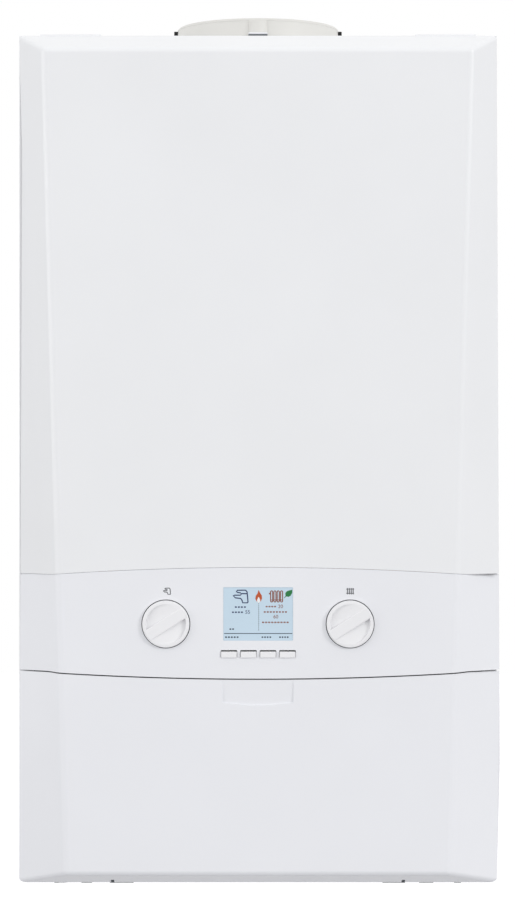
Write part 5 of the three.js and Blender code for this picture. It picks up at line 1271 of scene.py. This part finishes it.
@dataclass
class Fasteners:
    """Screws, nuts and washers that hold the sheets and the pipes."""

    tails: tuple[Span, ...] = (
        (-130.0, 11.0), (-65.0, 7.5), (0.0, 11.0), (65.0, 7.5), (130.0, 11.0))
    tail_y: float = -95.0
    clips: tuple[Span, ...] = (
        (-142, 9), (-113, 20), (112.5, 19), (139.5, 12), (165.5, 6), (-167, 4))
    clip_level: float = 155.0
    burner_face: float = -212.0
    burner_z: float = 455.0
    plate_face: float = -174.0
    fan: Span = (118.0, -150.0)
    fan_top: float = 622.8
    side_screw_levels: tuple[float, ...] = (60, 350, 610)
    tray_screw_places: tuple[float, ...] = (-170, -100, 100, 170)

    def build(self) -> None:
        """Build every fastener."""
        self._nuts()
        self._bolts()
        self._sight_glass()
        self._pipe_clip()
        self._screws()
        self._clips()

    def _nuts(self) -> None:
        """Put a chamfered brass nut on each pipe tail and a drawn copper sleeve under it."""
        nuts, sleeves = Stock(), Stock()
        for x, radius in self.tails:
            centre = (x, self.tail_y, 0)
            nuts.hexagon(radius * 3.06, (7.6, 20.4), centre)
            outer, inner = radius + 0.4, radius - 1.2
            ring = [(inner, -22.1), (outer - 0.5, -22.1), (outer, -21.5), (outer, -9.5),
                    (outer + 0.9, -9.0), (outer + 0.9, -7.0), (outer, -6.5), (outer, 7.5),
                    (inner, 7.5)]
            sleeves.turn(ring, centre, Axis.Z, 48)
        dress(nuts.piece("union_nuts"), Finishes.BRASS)
        dress(sleeves.piece("tail_sleeves"), Finishes.COPPER)

    def _bolts(self) -> None:
        """Bolt the burner door, the plate exchanger and the fan housing."""
        bolts = Stock()
        for x, z in circle(76, 6, (0, self.burner_z), 0.5):
            self._bolt(bolts, (x, self.burner_face, z), Axis.Y, -1, 5.0)
        for x in (-84, 84):
            for z in (52, 100):
                self._bolt(bolts, (x, self.plate_face, z), Axis.Y, -1, 4.6)
        for place in circle(48, 4, self.fan, 0.5):
            self._bolt(bolts, (*place, self.fan_top), Axis.Z, 1, 2.6)
        dress(bolts.piece("hex_bolts"), Finishes.STEEL)

    @staticmethod
    def _bolt(bolts: Stock, seat: Point, axis: Axis, way: int, radius: float) -> None:
        """Add a washer and a hexagon head.

        Args:
            bolts: The stock that gets them.
            seat: Where the washer lies.
            axis: The bolt's axis.
            way: 1 or -1, the way its head looks.
            radius: Half its width across the corners.
        """
        washer, head = sorted((0.0, way * 1.1)), sorted((way * 1.0, way * (radius * 0.75 + 1)))
        bolts.bar(radius * 1.3, tuple(washer), seat, axis, 32, 0.2)
        bolts.bar(radius, tuple(head), seat, axis, 6, 0.5)

    def _sight_glass(self) -> None:
        """Set the flame's sight glass in the burner door."""
        centre, face = (34.0, 0, 411.0), self.burner_face
        frame = [(5.4, face), (5.4, -215.6), (6.2, -216.0), (8.6, -215.4), (9.2, -214.4),
                 (9.2, face)]
        ring = Stock().turn(frame, centre, Axis.Y, 48)
        dress(ring.piece("sight_frame"), Finishes.BRASS)
        pane = Stock().bar(5.6, (-214.2, face), centre, Axis.Y, 32, 0.2)
        dress(pane.piece("sight_pane"), Finishes.BLACK)

    def _pipe_clip(self) -> None:
        """Hold the gas pipe to the back panel with a plastic clip on a spacer."""
        ring = [(10.6, -8), (13.2, -8), (13.6, -7.2), (13.6, 7.2), (13.2, 8), (10.6, 8)]
        clip = Stock().turn(ring, (0, self.tail_y, self.clip_level))
        clip.bar(3.2, (self.tail_y + 11, -8.5), (0, 0, self.clip_level), Axis.Y, 24)
        dress(clip.piece("pipe_clip"), Finishes.GREY)

    def _clips(self) -> None:
        """Put the grey clips of the door's catches under the tray's front edge."""
        clips = Stock()
        for middle, width in self.clips:
            clips.block(span(middle, width), (-244.5, -234), (-1.5, 4.3), 0.4)
        dress(clips.piece("tray_clips"), Finishes.GREY)

    def _screws(self) -> None:
        """Put pan-head screws along the side panels' rear edges and round the tray, with
        painted-shadow crosses.
        """
        heads, recess_shadows = Stock(), Stock()
        for side in (-1, 1):
            for z in self.side_screw_levels:
                self._screw(heads, recess_shadows, (side * HALF_WIDTH, -14, z), Axis.X, side)
        for x in self.tray_screw_places:
            self._screw(heads, recess_shadows, (x, -225, 4.2), Axis.Z, -1)
        dress(heads.piece("casing_screws"), Finishes.STEEL)
        dress(recess_shadows.piece("screw_recess_shadows"), Finishes.BLACK)

    @staticmethod
    def _screw(heads: Stock, recess_shadows: Stock, seat: Point, axis: Axis, way: int) -> None:
        """Add one screw head and a black cross on it, painted shadow for its recess.

        Args:
            heads: The stock that gets the head.
            recess_shadows: The stock that gets the black cross painted as the recess's shadow.
            seat: Where the head sits.
            axis: The screw's axis.
            way: 1 or -1, the way its head looks.
        """
        dome = [(0, -0.5), (3.4, -0.5), (3.4, 0.6), (2.8, 1.3), (1.6, 1.75), (0, 1.9)]
        profile = [(radius, way * height) for radius, height in dome]
        heads.turn(profile, seat, axis, 24)
        level = tuple(sorted((1.5 * way, 1.97 * way)))
        # No recess is cut: two black bars on the head are painted shadow where the recess would be
        # dark.
        for long, wide in ((3.0, 0.6), (0.6, 3.0)):
            bar = Stock().block(span(0, long), span(0, wide), level)
            bar.spin(Matrix.Translation(seat) @ axis.stand())
            recess_shadows.add(bar.bm)


# ---------------------------------------------------------------- studio


@dataclass
class Studio:
    """Camera, lamps, world and floor."""

    distance: float = 2312.0
    eye: float = 357.4
    aside: float = -0.4
    lens: float = 113.15
    sensor: float = 36.0
    floor_drop: float = 560.0
    dome: float = 0.85

    def build(self) -> None:
        """Set up the whole studio."""
        bpy.context.scene.view_settings.view_transform = "Standard"
        self._camera()
        self._world()
        self._floor()
        self._sun("key", (0.75, -0.55, 0.3), 0.9, 16)
        self._sun("fill", (-0.9, -0.5, 0.0), 0.95, 40)

    def _camera(self) -> None:
        """Put the camera level in front of the boiler, at the photograph's distance."""
        data = bpy.data.cameras.new("camera")
        data.lens = self.lens
        data.sensor_width = self.sensor
        data.clip_end = 60
        camera = placed("camera", data)
        camera.location = (self.aside * MM, (FRONT - self.distance) * MM, (self.eye - HANG_Z) * MM)
        camera.rotation_euler = (math.pi / 2, 0, 0)
        bpy.context.scene.camera = camera

    def _world(self) -> None:
        """Light evenly from all round, and show plain white to the eye and in reflections."""
        world = bpy.data.worlds.new("studio")
        world.use_nodes = True
        bench = NodeBench(world.node_tree)
        seen = self._seen(bench)
        dull, white = (bench.add("ShaderNodeBackground", values={
            "Color": (1, 1, 1, 1), "Strength": strength}) for strength in (self.dome, 1.0))
        mixed = bench.add("ShaderNodeMixShader", values={0: seen, 1: dull, 2: white})
        bench.add("ShaderNodeOutputWorld", values={"Surface": mixed})
        bpy.context.scene.world = world

    @staticmethod
    def _seen(bench: NodeBench) -> Wire:
        """Return 1 for rays from the eye and in reflections and glass, otherwise 0."""
        rays = [bench.add("ShaderNodeLightPath", output=name)
                for name in ("Is Camera Ray", "Is Glossy Ray", "Is Transmission Ray")]
        return (rays[0] + rays[1] + rays[2]).above(0.5)

    def _floor(self) -> None:
        """Lay a pale floor well below the hung boiler, wide enough for every view."""
        level = -HANG_Z - self.floor_drop
        made = bmesh.new()
        bmesh.ops.create_grid(made, x_segments=8, y_segments=8, size=9.0)
        bmesh.ops.translate(made, verts=made.verts, vec=(0, 0, level * MM))
        floor = placed("floor", mesh_of(made, "floor"))
        material = bpy.data.materials.new("floor")
        material.use_nodes = True
        bench = NodeBench(material.node_tree)
        seen = self._seen(bench)
        tone = bench.mix(bench.noise(3.0), (186, 186, 188), (190, 190, 192))
        matt = bench.add("ShaderNodeBsdfDiffuse", values={"Color": tone})
        lit = bench.add("ShaderNodeEmission", values={"Color": (1, 1, 1, 1), "Strength": 0.62})
        glow = bench.add("ShaderNodeAddShader", values={0: matt, 1: lit})
        mixed = bench.add("ShaderNodeMixShader", values={0: seen, 1: matt, 2: glow})
        bench.add("ShaderNodeOutputMaterial", values={"Surface": mixed})
        floor.data.materials.append(material)

    @staticmethod
    def _sun(name: str, source: Point, strength: float, width: float) -> None:
        """Add a broad sun.

        Args:
            name: The lamp's name.
            source: The direction it comes from.
            strength: Its strength.
            width: Its angle in degrees, which softens its shadows.
        """
        data = bpy.data.lights.new(name, "SUN")
        data.energy = strength
        data.angle = math.radians(width)
        lamp = placed(name, data)
        lamp.rotation_euler = Vector(source).to_track_quat("Z", "Y").to_euler()


def main() -> None:
    """Load the frame, build each assembly around it and report the pieces."""
    logging.basicConfig(level=logging.INFO, format="%(name)s: %(message)s")
    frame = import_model()
    Studio().build()
    panel = ControlPanel()
    FrontShells().build(panel.holes())
    panel.build()
    FlueTerminal().build()
    Works(frame["nodes"]).build()
    Fasteners().build()
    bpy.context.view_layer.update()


if __name__ == "__main__":
    main()
